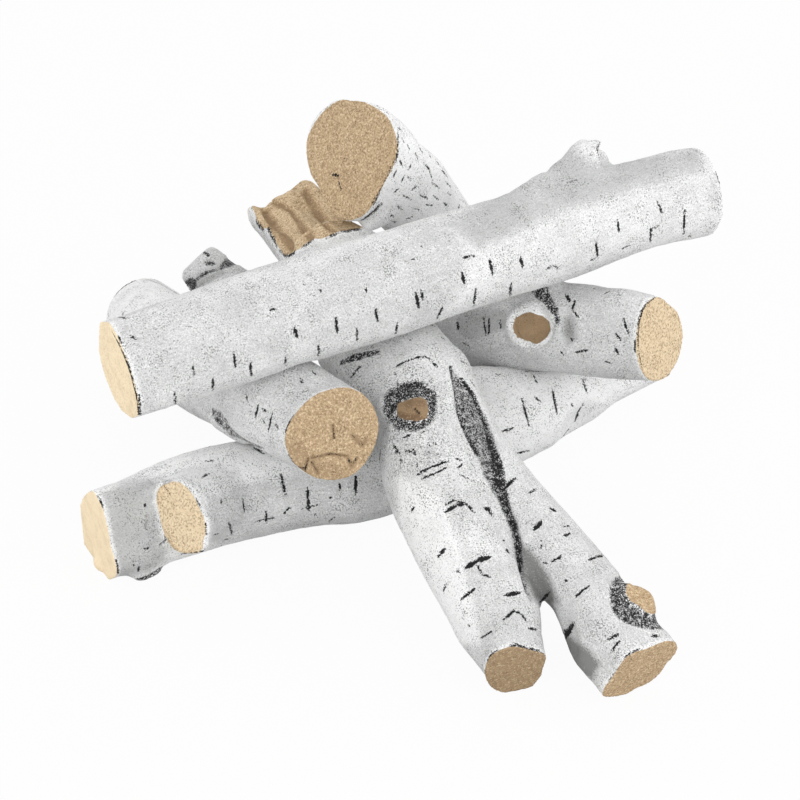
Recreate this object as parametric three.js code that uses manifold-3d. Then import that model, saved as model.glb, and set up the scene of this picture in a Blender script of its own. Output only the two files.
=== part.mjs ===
// Gas log set: six cast ceramic birch logs, stacked loose as they stand in a gas fire.
// Millimetres and degrees, +Z up. The logs are laid in order. Each one rests in shallow
// seats on the logs under it, so it lifts straight up once those above it are off.
import * as THREE from "three";
import { mergeVertices } from "three/addons/utils/BufferGeometryUtils.js";
import Module from "manifold-3d";

const wasm = await Module();
wasm.setup();

// Driving dimensions that all logs share
const SEAT_DEPTH = 1.6;
const SEAT_GAP = 0.35;
const FOOT_SINK = 1.2;
const TILTED_FOOT_SINK = 4;
const RIM_BEVEL = 2.2;
const CUT_OVERRUN = 60;
const RING_STEP = 17;

// Front base log: across the front, on the hearth all along
const FRONT_LENGTH = 417;
const FRONT_RADIUS = 31;
const FRONT_START_X = -192;
const FRONT_START_Y = -77;
const FRONT_HEADING = 28.3;

// Rear cross log: left end on the hearth, right end on the front base log
const REAR_LENGTH = 327;
const REAR_RADIUS = 30;
const REAR_START_X = -125;
const REAR_START_Y = 177;
const REAR_HEADING = -26;

// Left cross log: rear end on the hearth, front end on the front base log
const LEFT_LENGTH = 281;
const LEFT_RADIUS = 31;
const LEFT_START_X = -180;
const LEFT_START_Y = 172;
const LEFT_HEADING = -61.3;

// Forked log: two legs on the hearth, the trunk over the front and rear logs
const TRUNK_LENGTH = 215;
const TRUNK_RADIUS = 29;
const TRUNK_START_X = -80;
const TRUNK_START_Y = 190;
const TRUNK_HEADING = -63;
const LEFT_LEG_LENGTH = 201;
const LEFT_LEG_RADIUS = 28;
const LEFT_LEG_HEADING = -75;
const RIGHT_LEG_LENGTH = 232;
const RIGHT_LEG_RADIUS = 27;
const RIGHT_LEG_HEADING = -57.1;
const FORK_RADIUS = 30.5;

// Leaning log: foot on the hearth at the back, leaning on the trunk's split end
const LEANING_REACH = 128;
const LEANING_RADIUS = 30;
const LEANING_START_X = 46;
const LEANING_START_Y = 246;
const LEANING_HEADING = 231.4;

// Top log: the longest, over the trunk and the rear cross log
const TOP_LENGTH = 436;
const TOP_RADIUS = 34;
const TOP_START_X = -173;
const TOP_START_Y = -75;
const TOP_HEADING = 29.6;

// Branch stubs and knots: reach is from the log's axis to the stub's face
const FRONT_BRANCH = { reach: 68, base: 26, face: 24 };
const FRONT_SWELLING = { reach: 36, base: 17, face: 10 };
const REAR_STUB = { reach: 52, base: 26, face: 15 };
const REAR_REST = { reach: 36.5, base: 17, face: 9 };
const REAR_KNOT = { reach: 33, base: 20, face: 12 };
const LEFT_SWELLING = { reach: 35, base: 24, face: 15 };
const LEFT_LEG_KNOT = { reach: 34, base: 20, face: 14 };
const RIGHT_LEG_KNOT = { reach: 31, base: 19, face: 13 };
const TOP_BRANCH = { reach: 57, base: 31, face: 12.5 };

// Split end of the trunk: a long break along the grain, with ridges
const SPLIT_RUN = 64;
const SPLIT_SLOPE = 17;
const SPLIT_STEP = 8;
const SPLIT_RIDGE_HEIGHT = 4.5;
const SPLIT_RIDGES = 5;

// Counts, and the shape of a log's section
const RING_SIDES = 20;
const STUB_RINGS = 4;
const SETTLE_STEPS = 16;
const RIDGE_STEPS = 3;
const BALL_STEPS = 16;
const OVAL_SHARE = 0.022;
const LOBE_SHARE = 0.014;
const WAVE_SHARE = 0.012;
const WAVES = 3.5;
const RIDGE_DRIFT = 8;
const SQUARE = { yaw: 0, pitch: 0 };

// How far each log's section is turned round its axis, in radians
const FRONT_TURN = 0.4;
const REAR_TURN = 1.7;
const LEFT_TURN = 2.9;
const TRUNK_TURN = 3.8;
const LEFT_LEG_TURN = 0.8;
const RIGHT_LEG_TURN = 5.1;
const LEANING_TURN = 4.4;
const TOP_TURN = 5.7;

// Stations of each log, in shares: place along the length, bow to the left and bow
// upwards as shares of the length, and radius as a share of the log's radius
const FRONT_SHARES = [
  [0, 0, 0, 0.935],
  [0.17, -0.002, 0.008, 1.06],
  [0.332, -0.026, 0.004, 1],
  [0.43, -0.058, 0.0086, 1.065],
  [0.62, -0.052, 0.0034, 1],
  [0.762, -0.032, -0.002, 0.903],
  [0.825, -0.022, -0.002, 0.86],
  [0.875, -0.018, 0, 0.645],
  [1, 0, 0, 0.613],
];
const REAR_SHARES = [
  [0, 0, 0, 0.933],
  [0.246, 0.015, 0, 0.933],
  [0.5425, 0.016, 0, 0.967],
  [0.729, 0.019, 0, 1],
  [0.872, 0.011, 0, 1],
  [1, 0, 0, 0.983],
];
const LEFT_SHARES = [
  [0, 0, 0, 0.89],
  [0.363, -0.043, 0.01, 1.05],
  [0.724, -0.023, 0.01, 1.07],
  [1, 0, 0, 1.035],
];
const TRUNK_SHARES = [
  [0, 0, 0, 1],
  [0.182, 0, 0, 1],
  [0.616, 0, 0, 1],
  [1, 0, 0, 1],
];
const LEFT_LEG_SHARES = [
  [0, 0, 0, 1.035],
  [0.2515, -0.068, -0.01, 1.12],
  [0.486, -0.058, -0.025, 1.04],
  [0.7535, -0.006, -0.024, 1],
  [1, 0, 0, 0.85],
];
const RIGHT_LEG_SHARES = [
  [0, 0, 0, 1.07],
  [0.229, -0.0195, -0.02, 1],
  [0.45, -0.003, -0.038, 1],
  [0.714, 0.034, -0.031, 0.88],
  [0.86, 0.006, -0.015, 1.06],
  [1, 0, 0, 1.05],
];
const LEANING_SHARES = [
  [0, 0, 0, 0.93],
  [0.115, 0.0205, 0.097, 0.933],
  [0.298, 0.056, 0.184, 0.967],
  [0.531, 0.0807, 0.192, 1],
  [0.7506, 0.084, 0.14, 1.04],
  [1, 0, 0, 1.32],
];
const TOP_SHARES = [
  [0, 0, 0, 0.94],
  [0.21, -0.003, 0.008, 1.01],
  [0.44, 0, 0.009, 1.01],
  [0.6, 0.002, 0.01, 0.97],
  [0.75, 0.004, 0.01, 0.97],
  [0.88, 0.002, 0.009, 0.9],
  [1, 0, 0, 0.89],
];

// Where the stubs stand: along_share on the log's axis, roll round the axis from straight
// up towards its right side, lean along it in degrees, and turn of the stub's own section
const FRONT_BRANCH_AT = { along_share: 0.223, roll: 58, lean: -52, turn: 1.1 };
const FRONT_SWELLING_AT = { along_share: 0.055, roll: 146, lean: 0, turn: 2.1 };
const REAR_STUB_AT = { along_share: 0.06, roll: -8, lean: -38, turn: 0.2 };
const REAR_REST_AT = { along_share: 0.765, roll: -6, lean: 0, turn: 2.6 };
const REAR_KNOT_AT = { along_share: 0.745, roll: 53, lean: 0, turn: 1.6 };
const LEFT_SWELLING_AT = { along_share: 0.7, roll: 130, lean: 0, turn: 0.9 };
const LEFT_LEG_KNOT_AT = { along_share: 0.155, roll: 30, lean: 0, turn: 1.3 };
const RIGHT_LEG_KNOT_AT = { along_share: 0.85, roll: -64, lean: 0, turn: 2.3 };
const TOP_BRANCH_AT = { along_share: 0.742, roll: -28, lean: 35, turn: 0.5 };

// Saw cuts: how far the end face is turned from square, sideways and up, in degrees
const REAR_RIGHT_CUT = { yaw: -9, pitch: 0 };
const LEANING_TOP_CUT = { yaw: 6.5, pitch: 8 };
const LEFT_FRONT_CUT = { yaw: -10, pitch: -8 };

const UP = new THREE.Vector3(0, 0, 1);
const radians = THREE.MathUtils.degToRad;

// The stations of a log whose axis runs from startZ to endZ
function layLog(shares, length, radius, x, y, heading, startZ, endZ) {
  const along = new THREE.Vector3(Math.cos(radians(heading)), Math.sin(radians(heading)), 0);
  const left = new THREE.Vector3(-along.y, along.x, 0);
  return shares.map(([alongShare, leftShare, bowShare, radiusShare]) => {
    const place = new THREE.Vector3(x, y, startZ);
    place.addScaledVector(along, alongShare * length);
    place.addScaledVector(left, leftShare * length);
    place.z += (endZ - startZ) * alongShare + bowShare * length;
    return { place, radius: radiusShare * radius };
  });
}

// A log's axis: place, tangent, right side, top side and radius at a share of its length
function axisOf(stations) {
  const places = stations.map((station) => station.place);
  const radii = stations.map((station) => new THREE.Vector3(station.radius, 0, 0));
  const line = new THREE.CatmullRomCurve3(places, false, "catmullrom");
  const sizes = new THREE.CatmullRomCurve3(radii, false, "catmullrom");
  const at = (share) => {
    const t = line.getUtoTmapping(share);
    const place = line.getPoint(t);
    const tangent = line.getTangent(t);
    const right = new THREE.Vector3().crossVectors(tangent, UP).normalize();
    const top = new THREE.Vector3().crossVectors(right, tangent);
    return { place, tangent, right, top, radius: sizes.getPoint(t).x };
  };
  return { at, length: line.getLength() };
}

// A closed log body along its stations, grown all over by grow
function sweepLog(stations, turn, startCut, endCut, grow) {
  const axis = axisOf(stations);
  const steps = Math.max(STUB_RINGS, Math.round(axis.length / RING_STEP));
  const rim = RIM_BEVEL / axis.length;
  const slices = [{ t: 0, inset: RIM_BEVEL, out: -grow, cut: startCut }];
  slices.push({ t: rim, inset: 0, out: -grow, cut: startCut });
  for (let i = 1; i < steps; i += 1) {
    slices.push({ t: i / steps, inset: 0, out: 0, cut: i * 2 < steps ? startCut : endCut });
  }
  slices.push({ t: 1 - rim, inset: 0, out: grow, cut: endCut });
  slices.push({ t: 1, inset: RIM_BEVEL, out: grow, cut: endCut });

  const points = [];
  const centres = [];
  for (const { t, inset, out, cut } of slices) {
    const { place, tangent, right, top, radius } = axis.at(t);
    const reach = Math.min(t, 1 - t) * axis.length;
    const fade = Math.max(0, 1 - reach / (2 * radius));
    const centre = place.clone().addScaledVector(tangent, out);
    centres.push(centre);
    for (let k = 0; k < RING_SIDES; k += 1) {
      const angle = (2 * Math.PI * k) / RING_SIDES;
      const oval = OVAL_SHARE * Math.cos(2 * angle + turn);
      const lobe = LOBE_SHARE * Math.cos(3 * angle - 2 * turn);
      const wave = WAVE_SHARE * Math.sin(2 * Math.PI * WAVES * t + angle + turn);
      const size = radius * (1 + oval + lobe + wave) - inset + grow;
      const across = size * Math.cos(angle);
      const rise = size * Math.sin(angle);
      const slant = across * Math.tan(radians(cut.yaw)) + rise * Math.tan(radians(cut.pitch));
      const point = centre.clone().addScaledVector(right, across).addScaledVector(top, rise);
      points.push(point.addScaledVector(tangent, fade * slant));
    }
  }
  const first = points.push(centres[0]) - 1;
  const last = points.push(centres[centres.length - 1]) - 1;
  const end = (slices.length - 1) * RING_SIDES;
  const faces = [];
  for (let k = 0; k < RING_SIDES; k += 1) {
    const next = (k + 1) % RING_SIDES;
    for (let near = 0; near < end; near += RING_SIDES) {
      const far = near + RING_SIDES;
      faces.push(near + k, far + next, near + next);
      faces.push(near + k, far + k, far + next);
    }
    faces.push(first, k, next);
    faces.push(last, end + next, end + k);
  }
  return solidOf(points, faces);
}

function solidOf(points, faces) {
  const vertProperties = new Float32Array(points.flatMap((point) => point.toArray()));
  const triVerts = new Uint32Array(faces);
  return new wasm.Manifold(new wasm.Mesh({ numProp: 3, vertProperties, triVerts }));
}

// The solid of a closed three.js geometry
function solidOfGeometry(geometry) {
  const bare = geometry.clone();
  bare.deleteAttribute("normal");
  bare.deleteAttribute("uv");
  const merged = mergeVertices(bare);
  const position = merged.getAttribute("position");
  const points = Array.from({ length: position.count }, (_, i) => (
    new THREE.Vector3().fromBufferAttribute(position, i)
  ));
  return solidOf(points, merged.index.array);
}

// A branch stub, swelling or knot that stands on a log, grown all over by grow
function castStub(stations, stub, stand, grow) {
  const { place, tangent, right, top } = axisOf(stations).at(stand.along_share);
  const roll = radians(stand.roll);
  const lean = radians(stand.lean);
  const out = top.clone().multiplyScalar(Math.cos(roll)).addScaledVector(right, Math.sin(roll));
  const way = out.multiplyScalar(Math.cos(lean)).addScaledVector(tangent, Math.sin(lean));
  const root = { place, radius: stub.base };
  const face = { place: place.clone().addScaledVector(way, stub.reach), radius: stub.face };
  return sweepLog([root, face], stand.turn, SQUARE, SQUARE, grow);
}

// What is split off the trunk's rear end: all above a ridged face along the grain
function splitOff(stations, grow) {
  const axis = axisOf(stations);
  const { place, tangent, right, top, radius } = axis.at(SPLIT_RUN / axis.length);
  const half = radius + CUT_OVERRUN;
  const outline = new THREE.Shape();
  outline.moveTo(half, half);
  outline.lineTo(-half, half);
  outline.lineTo(-half, 0);
  const steps = SPLIT_RIDGES * RIDGE_STEPS;
  for (let i = -steps; i <= steps; i += 1) {
    const share = i / steps;
    const rise = Math.sin(share * SPLIT_RIDGES * Math.PI) * Math.cos(share * RIDGE_DRIFT);
    outline.lineTo(share * radius, rise * SPLIT_RIDGE_HEIGHT / 2);
  }
  outline.lineTo(half, 0);
  outline.closePath();
  const depth = axis.length + CUT_OVERRUN;
  const geometry = new THREE.ExtrudeGeometry(outline, { depth, bevelEnabled: false });

  const slope = radians(SPLIT_SLOPE);
  const back = tangent.clone().multiplyScalar(-Math.cos(slope)).addScaledVector(top, -Math.sin(slope));
  const rise = top.clone().multiplyScalar(Math.cos(slope)).addScaledVector(tangent, -Math.sin(slope));
  const across = new THREE.Vector3().crossVectors(rise, back);
  const origin = place.clone().addScaledVector(top, radius - SPLIT_STEP).addScaledVector(rise, grow);
  geometry.applyMatrix4(new THREE.Matrix4().makeBasis(across, rise, back).setPosition(origin));
  return solidOfGeometry(geometry);
}

// The swelling where the trunk parts into its legs
function castFork(stations, grow) {
  const geometry = new THREE.SphereGeometry(FORK_RADIUS + grow, 2 * BALL_STEPS, BALL_STEPS);
  const fork = stations.at(-1).place;
  geometry.translate(fork.x, fork.y, fork.z);
  return solidOfGeometry(geometry);
}

// The hearth: all that is below the ground
function hearth() {
  const width = FRONT_LENGTH + REAR_LENGTH + TOP_LENGTH + CUT_OVERRUN;
  const geometry = new THREE.BoxGeometry(width, width, CUT_OVERRUN);
  geometry.translate(0, 0, -CUT_OVERRUN / 2);
  return solidOfGeometry(geometry);
}

// Each log's body from its axis, grown all over by grow
const casts = {
  front_base_log: ([log], grow) => sweepLog(log, FRONT_TURN, SQUARE, SQUARE, grow)
    .add(castStub(log, FRONT_BRANCH, FRONT_BRANCH_AT, grow))
    .add(castStub(log, FRONT_SWELLING, FRONT_SWELLING_AT, grow)),
  rear_cross_log: ([log], grow) => sweepLog(log, REAR_TURN, SQUARE, REAR_RIGHT_CUT, grow)
    .add(castStub(log, REAR_STUB, REAR_STUB_AT, grow))
    .add(castStub(log, REAR_REST, REAR_REST_AT, grow))
    .add(castStub(log, REAR_KNOT, REAR_KNOT_AT, grow)),
  left_cross_log: ([log], grow) => sweepLog(log, LEFT_TURN, SQUARE, LEFT_FRONT_CUT, grow)
    .add(castStub(log, LEFT_SWELLING, LEFT_SWELLING_AT, grow)),
  forked_log: ([trunk, left, right], grow) => sweepLog(trunk, TRUNK_TURN, SQUARE, SQUARE, grow)
    .subtract(splitOff(trunk, grow))
    .add(castFork(trunk, grow))
    .add(sweepLog(left, LEFT_LEG_TURN, SQUARE, SQUARE, grow))
    .add(sweepLog(right, RIGHT_LEG_TURN, SQUARE, SQUARE, grow))
    .add(castStub(left, LEFT_LEG_KNOT, LEFT_LEG_KNOT_AT, grow))
    .add(castStub(right, RIGHT_LEG_KNOT, RIGHT_LEG_KNOT_AT, grow)),
  leaning_log: ([log], grow) => sweepLog(log, LEANING_TURN, SQUARE, LEANING_TOP_CUT, grow),
  top_log: ([log], grow) => sweepLog(log, TOP_TURN, SQUARE, SQUARE, grow)
    .add(castStub(log, TOP_BRANCH, TOP_BRANCH_AT, grow)),
};

// The height at which a log lies SEAT_DEPTH into what carries it
function settle(castAt, carriers, low, high) {
  let under = low;
  let over = high;
  for (let i = 0; i < SETTLE_STEPS; i += 1) {
    const middle = (under + over) / 2;
    const body = castAt(middle);
    if (carriers.every((carrier) => body.intersect(carrier).isEmpty())) over = middle;
    else under = middle;
  }
  return over - SEAT_DEPTH;
}

// The height of a log's axis at an end that lies on the hearth
function footing(radius, shares, sink) {
  return radius * shares.at(-1) - sink;
}

// The axes of all logs, each settled on those before it
function layPile() {
  const ceiling = 4 * (FRONT_RADIUS + REAR_RADIUS + TRUNK_RADIUS + TOP_RADIUS);

  const front = [layLog(
    FRONT_SHARES, FRONT_LENGTH, FRONT_RADIUS, FRONT_START_X, FRONT_START_Y, FRONT_HEADING,
    footing(FRONT_RADIUS, FRONT_SHARES[0], FOOT_SINK),
    footing(FRONT_RADIUS, FRONT_SHARES[2], FOOT_SINK),
  )];
  const frontBody = casts.front_base_log(front, 0);

  const rearAt = (z) => [layLog(
    REAR_SHARES, REAR_LENGTH, REAR_RADIUS, REAR_START_X, REAR_START_Y, REAR_HEADING,
    footing(REAR_RADIUS, REAR_SHARES[0], TILTED_FOOT_SINK), z,
  )];
  const castRear = (z) => casts.rear_cross_log(rearAt(z), 0);
  const rearZ = settle(castRear, [frontBody], 0, ceiling);
  const rearBody = castRear(rearZ);

  const leftAt = (z) => [layLog(
    LEFT_SHARES, LEFT_LENGTH, LEFT_RADIUS, LEFT_START_X, LEFT_START_Y, LEFT_HEADING,
    footing(LEFT_RADIUS, LEFT_SHARES[0], TILTED_FOOT_SINK), z,
  )];
  const leftZ = settle((z) => casts.left_cross_log(leftAt(z), 0), [frontBody], 0, ceiling);

  const trunkAt = (startZ, endZ) => layLog(
    TRUNK_SHARES, TRUNK_LENGTH, TRUNK_RADIUS, TRUNK_START_X, TRUNK_START_Y, TRUNK_HEADING,
    startZ, endZ,
  );
  const forkedAt = (startZ, forkZ) => {
    const trunk = trunkAt(startZ, forkZ);
    const fork = trunk.at(-1).place;
    const leftLeg = layLog(
      LEFT_LEG_SHARES, LEFT_LEG_LENGTH, LEFT_LEG_RADIUS, fork.x, fork.y, LEFT_LEG_HEADING,
      fork.z, footing(LEFT_LEG_RADIUS, LEFT_LEG_SHARES.at(-1), TILTED_FOOT_SINK),
    );
    const rightLeg = layLog(
      RIGHT_LEG_SHARES, RIGHT_LEG_LENGTH, RIGHT_LEG_RADIUS, fork.x, fork.y, RIGHT_LEG_HEADING,
      fork.z, footing(RIGHT_LEG_RADIUS, RIGHT_LEG_SHARES.at(-1), TILTED_FOOT_SINK),
    );
    return [trunk, leftLeg, rightLeg];
  };
  const castForked = (startZ, forkZ) => casts.forked_log(forkedAt(startZ, forkZ), 0);
  const forkZ = settle((z) => castForked(ceiling, z), [frontBody], 0, ceiling);
  const trunkZ = settle((z) => castForked(z, forkZ), [rearBody], 0, ceiling);
  const forkedBody = castForked(trunkZ, forkZ);

  const leaningAt = (z) => [layLog(
    LEANING_SHARES, LEANING_REACH, LEANING_RADIUS, LEANING_START_X, LEANING_START_Y,
    LEANING_HEADING, -LEANING_RADIUS / 4, z,
  )];
  const castLeaning = (z) => casts.leaning_log(leaningAt(z), 0);
  const leaningZ = settle(castLeaning, [forkedBody], LEANING_REACH, ceiling);

  const topAt = (startZ, endZ) => [layLog(
    TOP_SHARES, TOP_LENGTH, TOP_RADIUS, TOP_START_X, TOP_START_Y, TOP_HEADING, startZ, endZ,
  )];
  const castTop = (startZ, endZ) => casts.top_log(topAt(startZ, endZ), 0);
  const level = settle((z) => castTop(z, z), [forkedBody], 0, ceiling);
  const topEndZ = settle((z) => castTop(level, z), [rearBody], 0, ceiling);
  const topStartZ = settle((z) => castTop(z, topEndZ), [forkedBody], 0, ceiling);
  return {
    front_base_log: front,
    rear_cross_log: rearAt(rearZ),
    left_cross_log: leftAt(leftZ),
    forked_log: forkedAt(trunkZ, forkZ),
    leaning_log: leaningAt(leaningZ),
    top_log: topAt(topStartZ, topEndZ),
  };
}

const BARK_COLOURS = {
  front_base_log: 0xe9eaea,
  rear_cross_log: 0xd9dcdc,
  left_cross_log: 0xf3f3f2,
  forked_log: 0xeeefee,
  leaning_log: 0xf2f3f2,
  top_log: 0xe2e4e4,
};

function meshOf(name, solid) {
  const { vertProperties, triVerts } = solid.getMesh();
  const geometry = new THREE.BufferGeometry();
  geometry.setAttribute("position", new THREE.BufferAttribute(Float32Array.from(vertProperties), 3));
  geometry.setIndex(new THREE.BufferAttribute(Uint32Array.from(triVerts), 1));
  geometry.computeVertexNormals();
  const finish = { color: BARK_COLOURS[name], roughness: 0.85, metalness: 0 };
  const mesh = new THREE.Mesh(geometry, new THREE.MeshStandardMaterial(finish));
  mesh.name = name;
  return mesh;
}

// Each log is cut flat at the hearth and seated on every log that was laid before it
function buildSet() {
  const set = new THREE.Group();
  const under = [hearth()];
  for (const [name, axes] of Object.entries(layPile())) {
    const log = casts[name](axes, 0);
    set.add(meshOf(name, under.reduce((body, carrier) => body.subtract(carrier), log)));
    under.push(casts[name](axes, SEAT_GAP));
  }
  const box = new THREE.Box3().setFromObject(set);
  const middle = box.getCenter(new THREE.Vector3());
  set.position.set(-middle.x, -middle.y, -box.min.z);
  return set;
}

export default buildSet();
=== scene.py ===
"""Gas log set: six cast ceramic white-birch logs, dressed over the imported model.

Sizes are in millimetres unless a name says otherwise; Blender's own calls get metres.
Places on the visible side are given as pixels of the 800 pixel photograph and are carried
onto the logs along the photograph's own sight lines.
"""

import logging
import math
from dataclasses import dataclass
from enum import Enum

import bpy
import numpy as np
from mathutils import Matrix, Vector
from mathutils.bvhtree import BVHTree
from mathutils.kdtree import KDTree


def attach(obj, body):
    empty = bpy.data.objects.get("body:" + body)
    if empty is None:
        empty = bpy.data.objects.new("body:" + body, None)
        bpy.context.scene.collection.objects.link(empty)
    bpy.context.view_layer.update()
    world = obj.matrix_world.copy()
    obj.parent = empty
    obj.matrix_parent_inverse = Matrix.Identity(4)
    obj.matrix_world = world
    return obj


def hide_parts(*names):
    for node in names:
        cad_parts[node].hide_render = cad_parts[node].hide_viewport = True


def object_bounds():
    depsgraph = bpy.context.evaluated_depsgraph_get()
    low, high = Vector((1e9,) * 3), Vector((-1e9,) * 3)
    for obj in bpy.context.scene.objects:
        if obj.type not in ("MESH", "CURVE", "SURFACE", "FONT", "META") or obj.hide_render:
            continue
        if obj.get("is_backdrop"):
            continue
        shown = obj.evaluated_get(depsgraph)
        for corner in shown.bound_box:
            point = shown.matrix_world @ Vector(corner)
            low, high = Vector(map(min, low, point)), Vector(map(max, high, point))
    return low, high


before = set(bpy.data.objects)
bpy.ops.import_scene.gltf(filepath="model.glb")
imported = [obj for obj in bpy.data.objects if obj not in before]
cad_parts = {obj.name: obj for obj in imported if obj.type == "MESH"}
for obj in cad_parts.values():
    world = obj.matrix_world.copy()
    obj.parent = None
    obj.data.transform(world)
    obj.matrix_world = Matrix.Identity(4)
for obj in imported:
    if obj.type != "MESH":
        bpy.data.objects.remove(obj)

LOGGER = logging.getLogger("gas_log_set")
MM = 0.001
Pixel = tuple[float, float]
Point = tuple[float, float, float]
Span = tuple[float, float]
Colour = tuple[float, float, float, float]
Stroke = tuple[float, float, float, float, float]
Box = tuple[np.ndarray, np.ndarray]


@dataclass(frozen=True)
class PhotoCamera:
    """The camera of the photograph, in the set's own frame.

    Attributes:
        side: The picture's side in pixels.
        focal: Focal length in pixels.
        sensor: Width of the sensor.
        elevation: Angle looked down at, in degrees.
        distance: Distance from the aim.
        aim: The point at the picture's middle.
        nearest_m: Nearest distance that it shows, in metres.
        furthest_m: Furthest distance that it shows, in metres.
    """

    side: float = 800.0
    focal: float = 3100.0
    sensor: float = 36.0
    elevation: float = 37.0
    distance: float = 2000.0
    aim: Point = (-7.63, -30.65, 80.0)
    nearest_m: float = 0.05
    furthest_m: float = 50.0

    def axes(self) -> tuple[Vector, Vector, Vector]:
        """Turns the camera.

        Returns:
            The picture's right and up and the way back to the camera, as unit vectors.
        """
        tilt = math.radians(self.elevation)
        back = Vector((0, -math.cos(tilt), math.sin(tilt)))
        return Vector((1, 0, 0)), Vector((0, math.sin(tilt), math.cos(tilt))), back

    def place(self) -> Vector:
        """Gives the camera's place."""
        return Vector(self.aim) + self.distance * self.axes()[2]

    def ray(self, pixel: Pixel) -> Vector:
        """Follows the sight line through a pixel.

        Args:
            pixel: Column and row in the photograph.

        Returns:
            The sight line's unit direction.
        """
        right, up, back = self.axes()
        across = float(pixel[0] - self.side / 2) / self.focal
        climb = float(self.side / 2 - pixel[1]) / self.focal
        return (across * right + climb * up - back).normalized()

    def picture(self, points: np.ndarray, normals: np.ndarray) -> tuple[np.ndarray, np.ndarray]:
        """Takes places into the photograph.

        Args:
            points: Places, one row each.
            normals: The surface's normals there.

        Returns:
            Their pixels, and how far they face the camera, -1 to 1.
        """
        right, up, back = (np.array(axis) for axis in self.axes())
        away = points - np.array(self.place())
        depth = -(away @ back)
        column = self.side / 2 + self.focal * (away @ right) / depth
        row = self.side / 2 - self.focal * (away @ up) / depth
        facing = -np.sum(away * normals, axis=1) / np.linalg.norm(away, axis=1)
        return np.stack([column, row], 1), facing

    def pixels_of(self, points: np.ndarray) -> np.ndarray:
        """Takes places into the photograph without regard to what they face."""
        return self.picture(points, np.zeros_like(points))[0]

    def build(self) -> None:
        """Makes the scene's camera."""
        data = bpy.data.cameras.new("camera")
        data.sensor_width = self.sensor
        data.lens = self.sensor * self.focal / self.side
        data.clip_start = self.nearest_m
        data.clip_end = self.furthest_m
        camera = bpy.data.objects.new("camera", data)
        bpy.context.scene.collection.objects.link(camera)
        camera.location = self.place() * MM
        camera.rotation_euler = (math.radians(90 - self.elevation), 0, 0)
        bpy.context.scene.camera = camera


CAMERA = PhotoCamera()
PIXELS_PER_MM = CAMERA.focal / CAMERA.distance
SHIFT = Vector((CAMERA.aim[0], CAMERA.aim[1], 0))


@dataclass(frozen=True)
class Relief:
    """One layer of lumps on a surface.

    Attributes:
        height: How high they stand.
        cell: Width of the widest.
        octaves: How many layers, each half as wide as the one before, it has.
    """

    height: float
    cell: float
    octaves: int = 3


class Grain:
    """Seeded smooth noise in space, for many points at once."""

    SIZE = 4096
    PRIMES = (73856093, 19349663, 83492791)
    CELL_CORNERS = 8
    OCTAVE_SHIFT = 17.3

    def __init__(self, seed: int) -> None:
        """Draws the noise's values.

        Args:
            seed: Number that fixes the pattern.
        """
        self.values = np.random.default_rng(seed).uniform(-1.0, 1.0, self.SIZE)

    def at(self, points: np.ndarray, scale: float) -> np.ndarray:
        """Gives smooth noise from -1 to 1.

        Args:
            points: Places, one row each.
            scale: Size of the noise's cells.

        Returns:
            One value for each point.
        """
        cells = points / scale
        corner = np.floor(cells).astype(np.int64)
        share = cells - corner
        share = share * share * (3 - 2 * share)
        total = np.zeros(len(points))
        for step in range(self.CELL_CORNERS):
            pick = np.array([step & 1, step >> 1 & 1, step >> 2 & 1])
            code = (corner + pick) * self.PRIMES
            code = code[:, 0] ^ code[:, 1] ^ code[:, 2]
            total += np.prod(np.where(pick, share, 1 - share), axis=1) * self.values[code % self.SIZE]
        return total

    def fractal(self, points: np.ndarray, scale: float, octaves: int = 3) -> np.ndarray:
        """Adds up noise at ever smaller scales.

        Args:
            points: Places, one row each.
            scale: Size of the widest cells.
            octaves: How many scales are added.

        Returns:
            One value for each point, about -1 to 1.
        """
        layers = [
            self.at(points + self.OCTAVE_SHIFT * i * scale, scale / 2**i) / 2**i for i in range(octaves)
        ]
        return sum(layers) / (2 - 2 ** (1 - octaves))

    def lumps(self, points: np.ndarray, relief: Relief) -> np.ndarray:
        """Gives one layer of lumps at the points."""
        return relief.height * self.fractal(points, relief.cell, relief.octaves)


def rise(value: np.ndarray, low: float, high: float) -> np.ndarray:
    """Rises smoothly from 0 at low to 1 at high."""
    share = np.clip((value - low) / (high - low), 0.0, 1.0)
    return share * share * (3 - 2 * share)


def rise_past(value: np.ndarray, edge: float, span: Span) -> np.ndarray:
    """Rises smoothly from 0 to 1 over a span that is measured from an edge."""
    return rise(value, edge + span[0], edge + span[1])


def tree_of(points: np.ndarray, faces: list) -> BVHTree:
    """Makes the ray tree of a mesh that is given in millimetres."""
    return BVHTree.FromPolygons(points.tolist(), faces)


def read_mesh(mesh: bpy.types.Mesh) -> tuple[np.ndarray, list]:
    """Reads a mesh.

    Args:
        mesh: The mesh, in metres.

    Returns:
        Its points in millimetres and its faces.
    """
    flat = np.empty(3 * len(mesh.vertices))
    mesh.vertices.foreach_get("co", flat)
    return flat.reshape(-1, 3) / MM, [list(face.vertices) for face in mesh.polygons]


class Pile:
    """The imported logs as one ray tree, to tell what the photograph shows."""

    SLACK = 3.0

    def __init__(self) -> None:
        """Gathers every packed log's mesh."""
        points, faces = [], []
        start = 0
        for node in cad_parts:
            own_points, own_faces = read_mesh(bpy.data.objects[node].data)
            faces += [[start + corner for corner in face] for face in own_faces]
            points.append(own_points)
            start += len(own_points)
        self.tree = tree_of(np.concatenate(points), faces)

    def shows(self, place: np.ndarray) -> bool:
        """Tells whether the photograph shows a place on a log's surface.

        Args:
            place: The place.

        Returns:
            Whether no other log, and not its own front, hides it.
        """
        eye = CAMERA.place()
        way = Vector(place) - eye
        hit = self.tree.ray_cast(eye, way.normalized())[0]
        return hit is not None and (hit - eye).length > way.length - self.SLACK


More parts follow.
